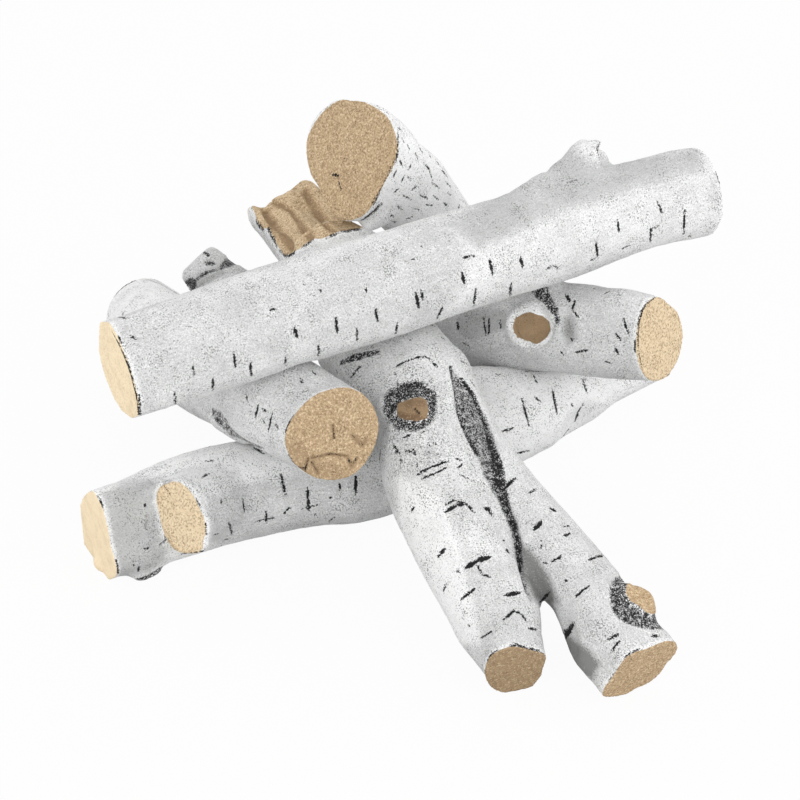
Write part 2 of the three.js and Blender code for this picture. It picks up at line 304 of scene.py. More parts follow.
@dataclass(frozen=True)
class Limb:
    """One round length of a log.

    Attributes:
        start: Middle of its first end.
        end: Middle of its last end.
        straight: Whether its axis is the straight line between its ends.
    """

    start: Point
    end: Point
    straight: bool = False


def limb(start: Point, end: Point, straight: bool = False) -> Limb:
    """Makes a limb from ends that are given with the photograph's aim as their origin."""
    return Limb(tuple(Vector(start) + SHIFT), tuple(Vector(end) + SHIFT), straight)


def nearest_limb(points: np.ndarray, limbs: tuple[Limb, ...]) -> np.ndarray:
    """Gives the number of each point's nearest limb.

    Args:
        points: Places, one row each.
        limbs: A log's limbs.

    Returns:
        One number for each point.
    """
    gaps = []
    for shape in limbs:
        start, end = np.array(shape.start), np.array(shape.end)
        way = end - start
        share = np.clip((points - start) @ way / (way @ way), 0, 1)
        gaps.append(np.linalg.norm(points - start - share[:, None] * way, axis=1))
    return np.argmin(gaps, axis=0)


class Axis:
    """A limb's middle line and the directions round it."""

    STATIONS = 13
    SLICE = 0.6
    LEAST_POINTS = 8
    SMOOTHINGS = 2

    def __init__(self, shape: Limb, points: np.ndarray) -> None:
        """Fits the middle line to the points of the limb.

        Args:
            shape: The limb.
            points: The surface points that belong to it.
        """
        start, end = np.array(shape.start), np.array(shape.end)
        self.length = float(np.linalg.norm(end - start))
        self.way = (end - start) / self.length
        self.right = np.cross(self.way, (0, 0, 1))
        self.right /= np.linalg.norm(self.right)
        self.top = np.cross(self.right, self.way)
        self.start = start
        self.stations = np.linspace(0, self.length, self.STATIONS)
        self.offsets = np.zeros((self.STATIONS, 2))
        if not shape.straight:
            self.fit(points)

    def fit(self, points: np.ndarray) -> None:
        """Moves the middle line to the middle of each slice of points.

        Args:
            points: The limb's surface points.
        """
        away = points - self.start
        along, sides = away @ self.way, np.stack([away @ self.right, away @ self.top], 1)
        reach = self.length / (self.STATIONS - 1)
        for i, station in enumerate(self.stations):
            near = sides[np.abs(along - station) < self.SLICE * reach]
            if len(near) > self.LEAST_POINTS:
                self.offsets[i] = (near.min(0) + near.max(0)) / 2
        for _ in range(self.SMOOTHINGS):
            middle = (self.offsets[:-2] + 2 * self.offsets[1:-1] + self.offsets[2:]) / 4
            self.offsets[1:-1] = middle

    def bow(self, along: np.ndarray | float) -> list:
        """Gives how far the middle line lies to the right and to the top."""
        return [np.interp(along, self.stations, self.offsets[:, i]) for i in (0, 1)]

    def unroll(self, points: np.ndarray) -> np.ndarray:
        """Gives points as if the limb were straight.

        Args:
            points: Places, one row each.

        Returns:
            Each point's place along the limb, to its right and to its top.
        """
        away = points - self.start
        along = away @ self.way
        right, top = self.bow(along)
        return np.stack([along, away @ self.right - right, away @ self.top - top], 1)

    def ray(self, along: float, angle: float) -> tuple[np.ndarray, np.ndarray]:
        """Gives a line from the limb's middle outwards.

        Args:
            along: Place along the limb.
            angle: Turn round the limb in radians, from its right to its top.

        Returns:
            The line's start and direction.
        """
        right, top = self.bow(along)
        middle = self.start + along * self.way + right * self.right + top * self.top
        return middle, math.cos(angle) * self.right + math.sin(angle) * self.top


class EndKind(Enum):
    """How a log's end was made."""

    SAWN = "sawn"
    BROKEN = "broken"


@dataclass(frozen=True)
class End:
    """A flat end of a log or of a stub on it.

    Attributes:
        at: Limb number and whether it is that limb's last end, or the pixel of a stub's face.
        tone: Paint of its wood, from 0 pale to 1 dark.
        flecks: How much dark paint is left on its rim, 0 to 1.
        reach: How far from its middle the face may go.
        kind: How it was made.
        drop: How far under the limb's middle its flat is looked for.
        stub: Whether it is the face of a stub, which is cast with it and not sawn off.
        local: Whether its saw cut must leave what lies past its reach alone.
        outline: Its rim in the photograph, which the end is fitted to.
        fade: How far back along the log the fit dies out.
        trim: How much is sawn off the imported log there.
        lip: How far the wood's paint reaches back over its rim.
    """

    at: tuple[float, float]
    tone: float
    flecks: float = 0.5
    reach: float = 44.0
    kind: EndKind = EndKind.SAWN
    drop: float = 0.0
    stub: bool = False
    local: bool = False
    outline: tuple[Pixel, ...] = ()
    fade: float = 55.0
    trim: float = 0.0
    lip: float = 0.9


@dataclass(frozen=True)
class Knot:
    """A knot that the photograph shows.

    Attributes:
        at: Pixel of its middle.
        core: Radius of its wood.
        ring: Radius of the sunken ring round it.
        trench: Depth of the ring.
        swell: Height of the rim outside the ring.
        tone: Paint of its wood.
        sink: Depth of its wood.
    """

    at: Pixel
    core: float
    ring: float
    trench: float
    swell: float
    tone: float
    sink: float


@dataclass(frozen=True)
class Band:
    """A dark or sunken band along a line of pixels.

    Attributes:
        line: Column, row and half width of each of its points, in pixels.
        ink_and_shade: Strength of its dark paint, and in places of painted shade.
        depth: How deep it is sunk.
        grey: Strength of soft grey paint under it, and in places of painted shade.
        tone: Paint of the wood under it, where that is darker; in the split's valleys it is painted
            shade.
    """

    line: tuple[Point, ...]
    ink_and_shade: float = 0.0
    depth: float = 0.0
    grey: float = 0.0
    tone: float = 0.0

    STEP = 2.0
    LEAST_STEPS = 2

    def spots(self) -> list[Point]:
        """Follows the band's line.

        Returns:
            Column, row and half width at close steps along it.
        """
        spots = []
        for (x1, y1, r1), (x2, y2, r2) in zip(self.line, self.line[1:]):
            count = max(self.LEAST_STEPS, int(math.hypot(x2 - x1, y2 - y1) / self.STEP))
            for share in np.linspace(0, 1, count, endpoint=False):
                spots.append((x1 + share * (x2 - x1), y1 + share * (y2 - y1), r1 + share * (r2 - r1)))
        return spots + [self.line[-1]]


@dataclass(frozen=True)
class Patch:
    """A painted or sunken patch inside an outline of pixels.

    Attributes:
        outline: Its corners.
        ink_and_shade: Strength of its dark paint, and in places of painted shade.
        grey: Strength of its grey paint, and in places of painted shade; negative where it is whiter,
            which in places is painted light.
        tone: Paint of its wood, or None where it is bark.
        depth: How deep it is sunk.
        soft: Half width of its edge, in pixels.
    """

    outline: tuple[Pixel, ...]
    ink_and_shade: float = 0.0
    grey: float = 0.0
    tone: float | None = None
    depth: float = 0.0
    soft: float = 2.0


@dataclass(frozen=True)
class Pull:
    """A soft pull on the surface, in the photograph's plane.

    Attributes:
        at: Pixel of the surface that is pulled.
        to: Pixel to which it goes.
        reach: How far round it the surface follows.
    """

    at: Pixel
    to: Pixel
    reach: float

    PICK = 3.0

    def move(self, points: np.ndarray) -> np.ndarray:
        """Pulls the surface round one place in the photograph's plane.

        Args:
            points: The log's points.

        Returns:
            The moved points.
        """
        gap = np.linalg.norm(CAMERA.pixels_of(points) - self.at, axis=1)
        close = np.flatnonzero(gap < gap.min() + self.PICK)
        eye = np.array(CAMERA.place())
        first = close[np.argmin(np.linalg.norm(points[close] - eye, axis=1))]
        right, up, _ = (np.array(axis) for axis in CAMERA.axes())
        step = (self.to[0] - self.at[0]) * right - (self.to[1] - self.at[1]) * up
        share = np.clip(1 - (np.linalg.norm(points - points[first], axis=1) / self.reach) ** 2, 0, 1) ** 2
        return points + share[:, None] * step / PIXELS_PER_MM


def inside_of(outline: tuple[Pixel, ...], spots: np.ndarray) -> np.ndarray:
    """Measures how far spots lie inside an outline.

    Args:
        outline: The outline's corners.
        spots: Columns and rows, one spot each.

    Returns:
        The distance to the outline, negative outside it.
    """
    tiny = 1e-9
    corners = np.array(outline, float)
    inside = np.zeros(len(spots), bool)
    gap = np.full(len(spots), np.inf)
    for first, last in zip(corners, np.roll(corners, -1, axis=0)):
        way = last - first
        share = np.clip((spots - first) @ way / max(way @ way, tiny), 0, 1)
        gap = np.minimum(gap, np.linalg.norm(spots - first - share[:, None] * way, axis=1))
        crossed = (first[1] > spots[:, 1]) != (last[1] > spots[:, 1])
        level = first[0] + (spots[:, 1] - first[1]) * way[0] / (way[1] or tiny)
        inside ^= crossed & (spots[:, 0] < level)
    return np.where(inside, gap, -gap)


def outline_radius(places: np.ndarray, turns: np.ndarray, steps: int = 1) -> np.ndarray:
    """Measures an outline's radius at each turn.

    Args:
        places: The outline's places round its own middle, two numbers a row.
        turns: The turns, evenly all round.
        steps: Into how many steps each side of a closed outline is cut, or 1 where places are loose.

    Returns:
        The radius at each turn, 0 where no place lies.
    """
    if steps > 1:
        closed = np.concatenate([places, places[:1]])
        count = np.linspace(0, 1, steps, endpoint=False)[:, None]
        places = np.concatenate([a + count * (b - a) for a, b in zip(closed, closed[1:])])
    angle, reach = np.arctan2(places[:, 1], places[:, 0]), np.linalg.norm(places, axis=1)
    gap = np.abs((angle[None] - turns[:, None] + math.pi) % (2 * math.pi) - math.pi)
    return np.where(gap < 2 * math.pi / len(turns), reach[None], 0).max(1)


@dataclass(frozen=True)
class Cut:
    """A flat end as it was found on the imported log, and how its outline is fitted.

    Attributes:
        end: The end.
        middle: A place on its plane.
        normal: The plane's outward unit normal.
        back: Unit direction from the end into its log.
    """

    end: End
    middle: np.ndarray
    normal: np.ndarray
    back: np.ndarray

    RIM = 2.5
    RIM_FACING = 0.5
    PRESS_EDGE = (-0.5, 1.0)
    PRESS_DEPTH = 0.6
    PRESS_FRONT = 0.5
    STUB_SPREAD = 1.5
    STUB_DEPTH = 1.1
    BINS = 72
    SIDE_STEPS = 12
    RIM_RUN = 1.6
    RIM_SLICE = 1.2
    LEAST_RADIUS = 1.0
    SCALES = (0.7, 1.4)
    FIT_HOLD = 3.0
    FIT_FRONT = -4.0

    def measure(self, points: np.ndarray) -> tuple[np.ndarray, np.ndarray]:
        """Measures places against the end's plane.

        Args:
            points: Places, one row each.

        Returns:
            How far behind the plane they lie, and how far from its middle as it is seen from the front.
        """
        away = points - self.middle
        depth = -(away @ self.normal)
        return depth, np.linalg.norm(away + np.outer(depth, self.normal), axis=1)

    def rim_faces(self, mesh: bpy.types.Mesh) -> list[int]:
        """Lists the faces of the end's flat with its chamfer.

        Args:
            mesh: The log's mesh.

        Returns:
            The faces' numbers.
        """
        found = []
        for face in mesh.polygons:
            away = np.array(face.center) / MM - self.middle
            level = abs(self.end.trim - away @ self.normal) < self.RIM
            if level and np.array(face.normal) @ self.normal > self.RIM_FACING:
                if np.linalg.norm(away) < self.end.reach:
                    found.append(face.index)
        return found

    def press_flat(self, points: np.ndarray) -> np.ndarray:
        """Brings what lies inside a stub's outline onto the plane of its face.

        Args:
            points: The log's points.

        Returns:
            The moved points.
        """
        eye = np.array(CAMERA.place())
        reach = self.end.reach
        depth = -((points - self.middle) @ self.normal)
        inside = rise(inside_of(self.end.outline, CAMERA.pixels_of(points)), *self.PRESS_EDGE)
        inside = inside * (np.abs(depth) < self.PRESS_DEPTH * reach)
        limit = np.linalg.norm(self.middle - eye) + self.PRESS_FRONT * reach
        front = np.linalg.norm(points - eye, axis=1) < limit
        rays = points - eye
        target = eye + rays * (((self.middle - eye) @ self.normal) / (rays @ self.normal))[:, None]
        near = inside * front * self.first_seen(points)
        return points + near[:, None] * (target - points)

    def first_seen(self, points: np.ndarray) -> np.ndarray:
        """Tells which points near a stub's face are on the side that the camera sees.

        Args:
            points: The log's points.

        Returns:
            True for each such point.
        """
        reach = self.end.reach
        gap = np.linalg.norm(points - np.array(CAMERA.place()), axis=1)
        near = np.linalg.norm(CAMERA.pixels_of(points) - self.end.at, axis=1)
        own = near < self.STUB_SPREAD * reach * PIXELS_PER_MM
        level = gap < np.median(gap[own]) + reach
        return own & level & (gap < gap[own].min() + self.STUB_DEPTH * reach)

    def rim(self, sides: np.ndarray) -> np.ndarray:
        """Lays the end's outline on its plane.

        Args:
            sides: The plane's own two directions.

        Returns:
            The outline's places along them.
        """
        eye = np.array(CAMERA.place())
        rim = []
        for pixel in self.end.outline:
            ray = np.array(CAMERA.ray(pixel))
            run = ray * ((self.middle - eye) @ self.normal) / (ray @ self.normal)
            rim.append(sides @ (eye + run - self.middle))
        return np.array(rim)

    def fit(self, points: np.ndarray, limbs: tuple[Limb, ...]) -> np.ndarray:
        """Scales a log's section near the end so that the end's rim meets its outline.

        Args:
            points: The log's points.
            limbs: The log's limbs.

        Returns:
            The moved points.
        """
        end = self.end
        across = np.cross(self.normal, (0, 0, 1))
        across /= np.linalg.norm(across)
        sides = np.stack([across, np.cross(self.normal, across)])
        rim = self.rim(sides)
        away = points - self.middle
        run = (away @ self.normal) / (self.back @ self.normal)
        flat = (away - np.outer(run, self.back)) @ sides.T
        near = (np.abs(run - self.RIM_RUN) < self.RIM_SLICE) & (np.linalg.norm(flat, axis=1) < end.reach)
        old, new = (flat[near].min(0) + flat[near].max(0)) / 2, (rim.min(0) + rim.max(0)) / 2
        turns = np.linspace(-math.pi, math.pi, self.BINS, endpoint=False)
        wanted = outline_radius(rim - new, turns, self.SIDE_STEPS)
        given = outline_radius(flat[near] - old, turns)
        found = (wanted > self.LEAST_RADIUS) & (given > self.LEAST_RADIUS)
        ratio = np.interp(turns, turns[found], wanted[found] / given[found], period=2 * math.pi)
        ratio = np.clip((np.roll(ratio, 1) + 2 * ratio + np.roll(ratio, -1)) / 4, *self.SCALES)
        own = flat - old
        angle = np.arctan2(own[:, 1], own[:, 0])
        scale = np.interp(angle, turns, ratio, period=2 * math.pi)
        share = 1 - rise(run, self.FIT_HOLD, end.fade)
        share = share * (run > self.FIT_FRONT) * (np.linalg.norm(own, axis=1) < end.reach)
        if not end.stub:
            share *= nearest_limb(points, limbs) == int(end.at[0])
        move = (new + own * scale[:, None]) - flat
        return points + share[:, None] * (move @ sides)


class Surface:
    """A log's fine mesh as arrays, with the painted fields that its materials read."""

    FIELDS = ("wood", "mark", "ink_and_shade", "grey", "tone")
    FAR = -9.0
    LIMB_GAP = 500.0
    STROKE_MARGIN = 2.5
    BAND_REACH = 1.6
    BAND_EDGE = (0.45, 1.5)
    TURNED = (-0.4, 0.1)
    INK_UNDER_WOOD = 0.8
    TONE_RIM = -3.0
    KNOT_REACH = 1.9
    KNOT_WOBBLE = 0.14
    KNOT_CELL = 7.0
    CORE_EDGE = (-1.5, 0.5)
    CORE_RIM = 2.0
    RING_START = (-1.0, 2.0)
    RING_STOP = (-3.0, 2.0)
    LIP_START = (-2.0, 1.0)
    LIP_REACH = 1.6

    def __init__(self, piece: bpy.types.Object, limbs: tuple[Limb, ...]) -> None:
        """Reads the mesh and lays the limbs' own coordinates on it.

        Args:
            piece: The log.
            limbs: Its limbs.
        """
        self.mesh = piece.data
        self.points, faces = read_mesh(self.mesh)
        self.tree = tree_of(self.points, faces)
        self.near = KDTree(len(self.points))
        for i, point in enumerate(self.points.tolist()):
            self.near.insert(point, i)
        self.near.balance()
        normals = np.empty(3 * len(self.points))
        self.mesh.vertices.foreach_get("normal", normals)
        self.normals = normals.reshape(-1, 3)
        self.assign(limbs)
        self.pixels, self.facing = CAMERA.picture(self.points, self.normals)
        count = len(self.points)
        self.fields = {name: np.zeros(count) for name in self.FIELDS}
        self.fields["mark"][:] = self.FAR
        self.fields["wood"][:] = self.FAR
        self.height = np.zeros(count)

    def assign(self, limbs: tuple[Limb, ...]) -> None:
        """Gives each point to its nearest limb and unrolls it there.

        Args:
            limbs: The log's limbs.
        """
        self.limb_of = nearest_limb(self.points, limbs)
        self.axes = [Axis(shape, self.points[self.limb_of == i]) for i, shape in enumerate(limbs)]
        self.rolled = np.zeros((len(self.points), 3))
        for i, axis in enumerate(self.axes):
            own = self.limb_of == i
            self.rolled[own] = axis.unroll(self.points[own]) + (self.LIMB_GAP * i, 0, 0)

    def hit(self, origin: np.ndarray, way: np.ndarray) -> tuple[np.ndarray, np.ndarray] | None:
        """Casts a line onto the log.

        Args:
            origin: The line's start.
            way: Its direction.

        Returns:
            Where it lands and the surface's normal there, or None.
        """
        place, normal, _, _ = self.tree.ray_cast(Vector(origin), Vector(way))
        return None if place is None else (np.array(place), np.array(normal))

    def seen(self, pixel: Pixel) -> tuple[np.ndarray, np.ndarray] | None:
        """Casts a pixel of the photograph onto the log."""
        return self.hit(CAMERA.place(), CAMERA.ray(pixel))

    def around(self, place: np.ndarray, reach: float) -> tuple[np.ndarray, np.ndarray]:
        """Gives the numbers and distances of the points within reach of a place."""
        found = self.near.find_range(Vector(place), reach)
        return np.array([i for _, i, _ in found], int), np.array([gap for _, _, gap in found])

    def stroke(self, places: list[np.ndarray], halves: list[float]) -> None:
        """Paints a dark stroke along a line of places.

        Args:
            places: The line's places, close together.
            halves: Half width of the stroke at each of them.
        """
        mark = self.fields["mark"]
        for place, half in zip(places, halves):
            own, gaps = self.around(place, half + self.STROKE_MARGIN)
            if len(own):
                mark[own] = np.maximum(mark[own], half - gaps)

    def band(self, band: Band) -> None:
        """Paints and sinks a band.

        Args:
            band: The band.
        """
        cover = np.zeros(len(self.points))
        for x, y, radius in band.spots():
            landed = self.seen((x, y))
            if landed is None:
                continue
            half = radius / PIXELS_PER_MM
            own, gaps = self.around(landed[0], self.BAND_REACH * half)
            if len(own):
                share = 1 - rise(gaps, self.BAND_EDGE[0] * half, self.BAND_EDGE[1] * half)
                cover[own] = np.maximum(cover[own], share)
        self.fields["ink_and_shade"] = np.maximum(self.fields["ink_and_shade"], band.ink_and_shade * cover)
        self.fields["grey"] = np.maximum(self.fields["grey"], band.grey * cover)
        self.fields["tone"] += np.maximum(band.tone - self.fields["tone"], 0) * cover
        self.height -= band.depth * cover

    def patch(self, patch: Patch) -> None:
        """Paints and sinks a patch on what faces the photograph's camera.

        Args:
            patch: The patch.
        """
        gap = inside_of(patch.outline, self.pixels)
        cover = rise(gap, -patch.soft, patch.soft) * rise(self.facing, *self.TURNED)
        for name, strength in (("ink_and_shade", patch.ink_and_shade), ("grey", patch.grey)):
            if strength:
                whole = np.maximum if strength > 0 else np.add
                self.fields[name] = whole(self.fields[name], strength * cover)
        self.height -= patch.depth * cover
        if patch.tone is not None:
            self.fields["ink_and_shade"] *= 1 - self.INK_UNDER_WOOD * cover
            wood = np.where(self.facing > self.TURNED[0], gap / PIXELS_PER_MM, self.FAR)
            self.fields["tone"] = np.where(wood > self.TONE_RIM, patch.tone, self.fields["tone"])
            self.fields["wood"] = np.maximum(self.fields["wood"], wood)

    def knot(self, knot: Knot, grain: Grain) -> None:
        """Models a knot and paints its wood.

        Args:
            knot: The knot.
            grain: Noise that keeps it from being round.
        """
        landed = self.seen(knot.at)
        if landed is None:
            return
        place, normal = landed
        own, _ = self.around(place, self.KNOT_REACH * knot.ring)
        away = self.points[own] - place
        flat = away - np.outer(away @ normal, normal)
        wobble = 1 + self.KNOT_WOBBLE * grain.at(self.points[own], self.KNOT_CELL)
        reach = np.linalg.norm(flat, axis=1) * wobble
        ring = rise_past(reach, knot.core, self.RING_START)
        ring *= 1 - rise_past(reach, knot.ring, self.RING_STOP)
        lip = rise_past(reach, knot.ring, self.LIP_START)
        lip *= 1 - rise(reach, knot.ring + self.LIP_START[1], self.LIP_REACH * knot.ring)
        core = 1 - rise_past(reach, knot.core, self.CORE_EDGE)
        self.height[own] += knot.swell * lip - knot.trench * ring - knot.sink * core
        self.fields["wood"][own] = np.maximum(self.fields["wood"][own], knot.core - reach)
        painted = reach < knot.core + self.CORE_RIM
        self.fields["tone"][own] = np.where(painted, knot.tone, self.fields["tone"][own])

    def write(self, low: np.ndarray, high: np.ndarray) -> None:
        """Moves the points out to their heights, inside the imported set's box, and keeps the fields.

        Args:
            low: The box's lowest corner.
            high: Its highest corner.
        """
        moved = self.points + self.height[:, None] * self.normals
        moved = np.clip(moved, low, high)
        self.mesh.vertices.foreach_set("co", (moved * MM).ravel())
        for name, values in self.fields.items():
            layer = self.mesh.attributes.new(name, "FLOAT", "POINT")
            layer.data.foreach_set("value", values)
        layer = self.mesh.attributes.new("rolled", "FLOAT_VECTOR", "POINT")
        layer.data.foreach_set("vector", (self.rolled * MM).ravel())
        self.mesh.update()


def in_edit(piece: bpy.types.Object) -> None:
    """Opens a piece alone in edit mode with nothing selected.

    Args:
        piece: The piece.
    """
    if bpy.context.object and bpy.context.object.mode != "OBJECT":
        bpy.ops.object.mode_set(mode="OBJECT")
    bpy.ops.object.select_all(action="DESELECT")
    bpy.context.view_layer.objects.active = piece
    piece.select_set(True)
    bpy.ops.object.mode_set(mode="EDIT")
    bpy.ops.mesh.select_mode(type="FACE")
    bpy.ops.mesh.select_all(action="DESELECT")


def select_faces(piece: bpy.types.Object, wanted: list[int]) -> None:
    """Selects faces of a piece that is open in edit mode.

    Args:
        piece: The piece.
        wanted: The faces' numbers.
    """
    bpy.ops.object.mode_set(mode="OBJECT")
    for number in wanted:
        piece.data.polygons[number].select = True
    bpy.ops.object.mode_set(mode="EDIT")


def apply(piece: bpy.types.Object, kind: str, **settings: object) -> None:
    """Adds a modifier to a piece and applies it at once.

    Args:
        piece: The piece.
        kind: The modifier's type.
        **settings: Its values.
    """
    bpy.ops.object.select_all(action="DESELECT")
    bpy.context.view_layer.objects.active = piece
    piece.select_set(True)
    modifier = piece.modifiers.new(kind.lower(), kind)
    for name, value in settings.items():
        setattr(modifier, name, value)
    bpy.ops.object.modifier_apply(modifier=modifier.name)


@dataclass
class CastLog:
    """One cast log: its limbs, ends, knots, bands and strokes, and how it is modelled.

    Attributes:
        node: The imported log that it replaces.
        body: The body that it rides on.
        limbs: Its round lengths.
        ends: Its flat ends.
        seed: Number that fixes its noise and its hidden strokes.
        knots: Knots that stand out on it.
        bands: Its dark or sunken bands.
        patches: Its painted or sunken patches.
        pulls: Pulls that fit its outline to the photograph.
        strokes: Start, stop and width of each dark stroke, in pixels.
        grey: How grey its bark is all over, negative where it is whiter.
        hidden_marks: How many strokes are strewn on the sides that the photograph hides.
        skin: Voxel size of its fine mesh.
        skin_rounds: How often its fine mesh is smoothed.
        core_skin: Voxel size of the mesh that is smoothed into a log.
        core_rounds: How often that mesh is smoothed.
        overrun: How far each end runs on past its saw cut while the log is smoothed.
    """

    node: str
    body: str
    limbs: tuple[Limb, ...]
    ends: tuple[End, ...]
    seed: int
    knots: tuple[Knot, ...] = ()
    bands: tuple[Band, ...] = ()
    patches: tuple[Patch, ...] = ()
    pulls: tuple[Pull, ...] = ()
    strokes: tuple[Stroke, ...] = ()
    grey: float = 0.1
    hidden_marks: int = 26
    skin: float = 1.12
    skin_rounds: int = 2
    core_skin: float = 2.0
    core_rounds: int = 14
    overrun: float = 14.0

    SOFT = "soft"
    SMOOTHING = 0.5
    MERGE = 0.01
    LOOK_FROM = 60.0
    STUB_GUARD = (2.5, 7.0)
    STUB_MARGIN = (0.0, 6.0)
    LEAST_SMOOTHING = 0.12
    SAW_REACH = 8.0
    FLECK_CELL = 11.0
    FLECK_SPAN = (0.35, 0.75)
    WOOD_DEPTH = 12.0
    CLOSE_WOOD_DEPTH = 3.0
    REACH_SLOPE = 2.0
    WOOD_TONE_RIM = -6.0
    INK_RIM = 0.6
    INK_RIM_EDGE = (0.4, 1.5)
    INK_ON_RIM = 0.85
    CHIPS = Relief(1.8, 9.0)
    CHIP_EDGE = (-3.0, 0.5)
    LUMPS = Relief(0.75, 42.0, 2)
    WRINKLES = Relief(0.28, 5.5)
    PORES = Relief(0.16, 3.6, 2)
    BARK_DROP = 0.35
    SAW_MARKS = Relief(0.14, 4.0)
    SAW_DROP = 0.15
    WRINKLE_STRETCH = (1.0, 0.3, 0.3)
    SAW_STRETCH = (1.0, 1.0, 0.25)
    BARK_EDGE = (-0.8, 0.4)
    ZONES = Relief(0.3, 34.0)
    ZONE_SHIFT = 300.0
    STROKE_STEPS = 3
    TAPER = 0.45
    HAND = (0.75, 1.15)
    TRIES = 12
    END_MARGIN = 8.0
    HIDDEN_TURN = (0.06, 0.26)
    HIDDEN_LEAN = (-1.2, 1.2)
    HIDDEN_STEPS = 13
    HIDDEN_HALF = 0.75
    HIDDEN_TAPER = 0.6
    HIDDEN_HAND = (0.6, 1.2)
    MARK_STOP = -0.6
    MARK_DEPTH = 0.5
    MARK_EDGE = (-0.7, 0.4)
    PALE_RIM = 0.8
    PALE_RIM_EDGE = (-4.0, -1.0)

    def __post_init__(self) -> None:
        """Draws the log's own noise."""
        self.grain = Grain(self.seed)

    def build(self, pile: Pile, finish: bpy.types.Material, box: Box) -> bpy.types.Object:
        """Models, sculpts and paints the log.

        Args:
            pile: All packed logs.
            finish: The material it carries.
            box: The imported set's lowest and highest corners.

        Returns:
            The finished log.
        """
        piece = self.copy_cast()
        cuts = self.find_ends(piece)
        self.run_on(piece, cuts)
        apply(piece, "REMESH", mode="VOXEL", voxel_size=self.core_skin * MM)
        self.guard_stubs(piece, cuts)
        soft = {"iterations": self.core_rounds, "vertex_group": self.SOFT}
        apply(piece, "SMOOTH", factor=self.SMOOTHING, **soft)
        self.saw_off(piece, cuts)
        apply(piece, "REMESH", mode="VOXEL", voxel_size=self.skin * MM)
        apply(piece, "SMOOTH", factor=self.SMOOTHING, iterations=self.skin_rounds)
        self.fit_ends(piece, cuts)
        surface = Surface(piece, self.limbs)
        self.paint_ends(surface, cuts)
        self.roughen(surface)
        for patch in self.patches:
            surface.patch(patch)
        for band in self.bands:
            surface.band(band)
        for knot in self.knots:
            surface.knot(knot, self.grain)
        self.add_forms(surface)
        rng = np.random.default_rng(self.seed)
        self.paint_strokes(surface, rng)
        self.strew_strokes(surface, pile, rng)
        self.close_marks(surface)
        surface.write(*box)
        piece.data.materials.append(finish)
        piece.data.shade_smooth()
        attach(piece, self.body)
        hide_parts(self.node)
        LOGGER.info("%s: %d faces", piece.name, len(piece.data.polygons))
        return piece

    def copy_cast(self) -> bpy.types.Object:
        """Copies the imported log's mesh and merges its loose triangles.

        Returns:
            The new piece.
        """
        mesh = bpy.data.objects[self.node].data.copy()
        mesh.materials.clear()
        piece = bpy.data.objects.new(self.node.replace("_log", "_birch"), mesh)
        bpy.context.scene.collection.objects.link(piece)
        in_edit(piece)
        bpy.ops.mesh.select_all(action="SELECT")
        bpy.ops.mesh.remove_doubles(threshold=self.MERGE * MM)
        bpy.ops.object.mode_set(mode="OBJECT")
        return piece

    def find_ends(self, piece: bpy.types.Object) -> list[Cut]:
        """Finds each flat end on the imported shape.

        Args:
            piece: The log.

        Returns:
            Each end with its plane, in their order.
        """
        tree = tree_of(*read_mesh(piece.data))
        cuts = []
        for end in self.ends:
            if end.stub:
                place, normal = tree.ray_cast(CAMERA.place(), CAMERA.ray(end.at))[:2]
                back = -np.array(normal)
            else:
                shape = self.limbs[int(end.at[0])]
                start, last = Vector(shape.start), Vector(shape.end)
                if not end.at[1]:
                    start, last = last, start
                way = (last - start).normalized()
                origin = last + self.LOOK_FROM * way - Vector((0, 0, end.drop))
                place, normal = tree.ray_cast(origin, -way)[:2]
                back = np.array(shape.start) - np.array(shape.end)
                back = back / np.linalg.norm(back) * (1 if end.at[1] else -1)
            normal = np.array(normal)
            cuts.append(Cut(end, np.array(place) - end.trim * normal, normal, back))
            LOGGER.info("%s end %s: %s %s", self.node, end.at, np.round(place, 1), np.round(normal, 2))
        return cuts

    def guard_stubs(self, piece: bpy.types.Object, cuts: list[Cut]) -> None:
        """Gives the points that may be smoothed their weight, which falls off at the stubs' faces.

        Args:
            piece: The log.
            cuts: Its ends.
        """
        points, _ = read_mesh(piece.data)
        weight = np.ones(len(points))
        for cut in cuts:
            if cut.end.stub:
                depth, flat = cut.measure(points)
                aside = rise_past(flat, cut.end.reach, self.STUB_MARGIN)
                weight *= np.maximum(rise(np.abs(depth), *self.STUB_GUARD), aside)
        group = piece.vertex_groups.new(name=self.SOFT)
        for i, share in enumerate(np.maximum(weight, self.LEAST_SMOOTHING).tolist()):
            group.add([i], share, "REPLACE")

    def run_on(self, piece: bpy.types.Object, cuts: list[Cut]) -> None:
        """Draws each end out past its cut, so that smoothing leaves its edge alone.

        Args:
            piece: The log.
            cuts: Its ends.
        """
        for cut in cuts:
            if cut.end.stub:
                continue
            in_edit(piece)
            select_faces(piece, cut.rim_faces(piece.data))
            step = Vector(cut.normal) * self.overrun * MM
            bpy.ops.mesh.extrude_region_move(TRANSFORM_OT_translate={"value": step})
            bpy.ops.object.mode_set(mode="OBJECT")

    def saw_off(self, piece: bpy.types.Object, cuts: list[Cut]) -> None:
        """Saws each end off at its plane.

        Args:
            piece: The log.
            cuts: Its ends.
        """
        for cut in cuts:
            if cut.end.stub:
                continue
            in_edit(piece)
            centres = np.array([face.center for face in piece.data.polygons]) / MM
            depth, flat = cut.measure(centres)
            near = (depth < self.SAW_REACH) & (depth > -2 * self.overrun) & (flat < cut.end.reach)
            select_faces(piece, np.flatnonzero(near | (not cut.end.local)).tolist())
            saw = {"plane_co": Vector(cut.middle) * MM, "plane_no": Vector(cut.normal)}
            bpy.ops.mesh.bisect(use_fill=True, clear_outer=True, **saw)
            bpy.ops.object.mode_set(mode="OBJECT")

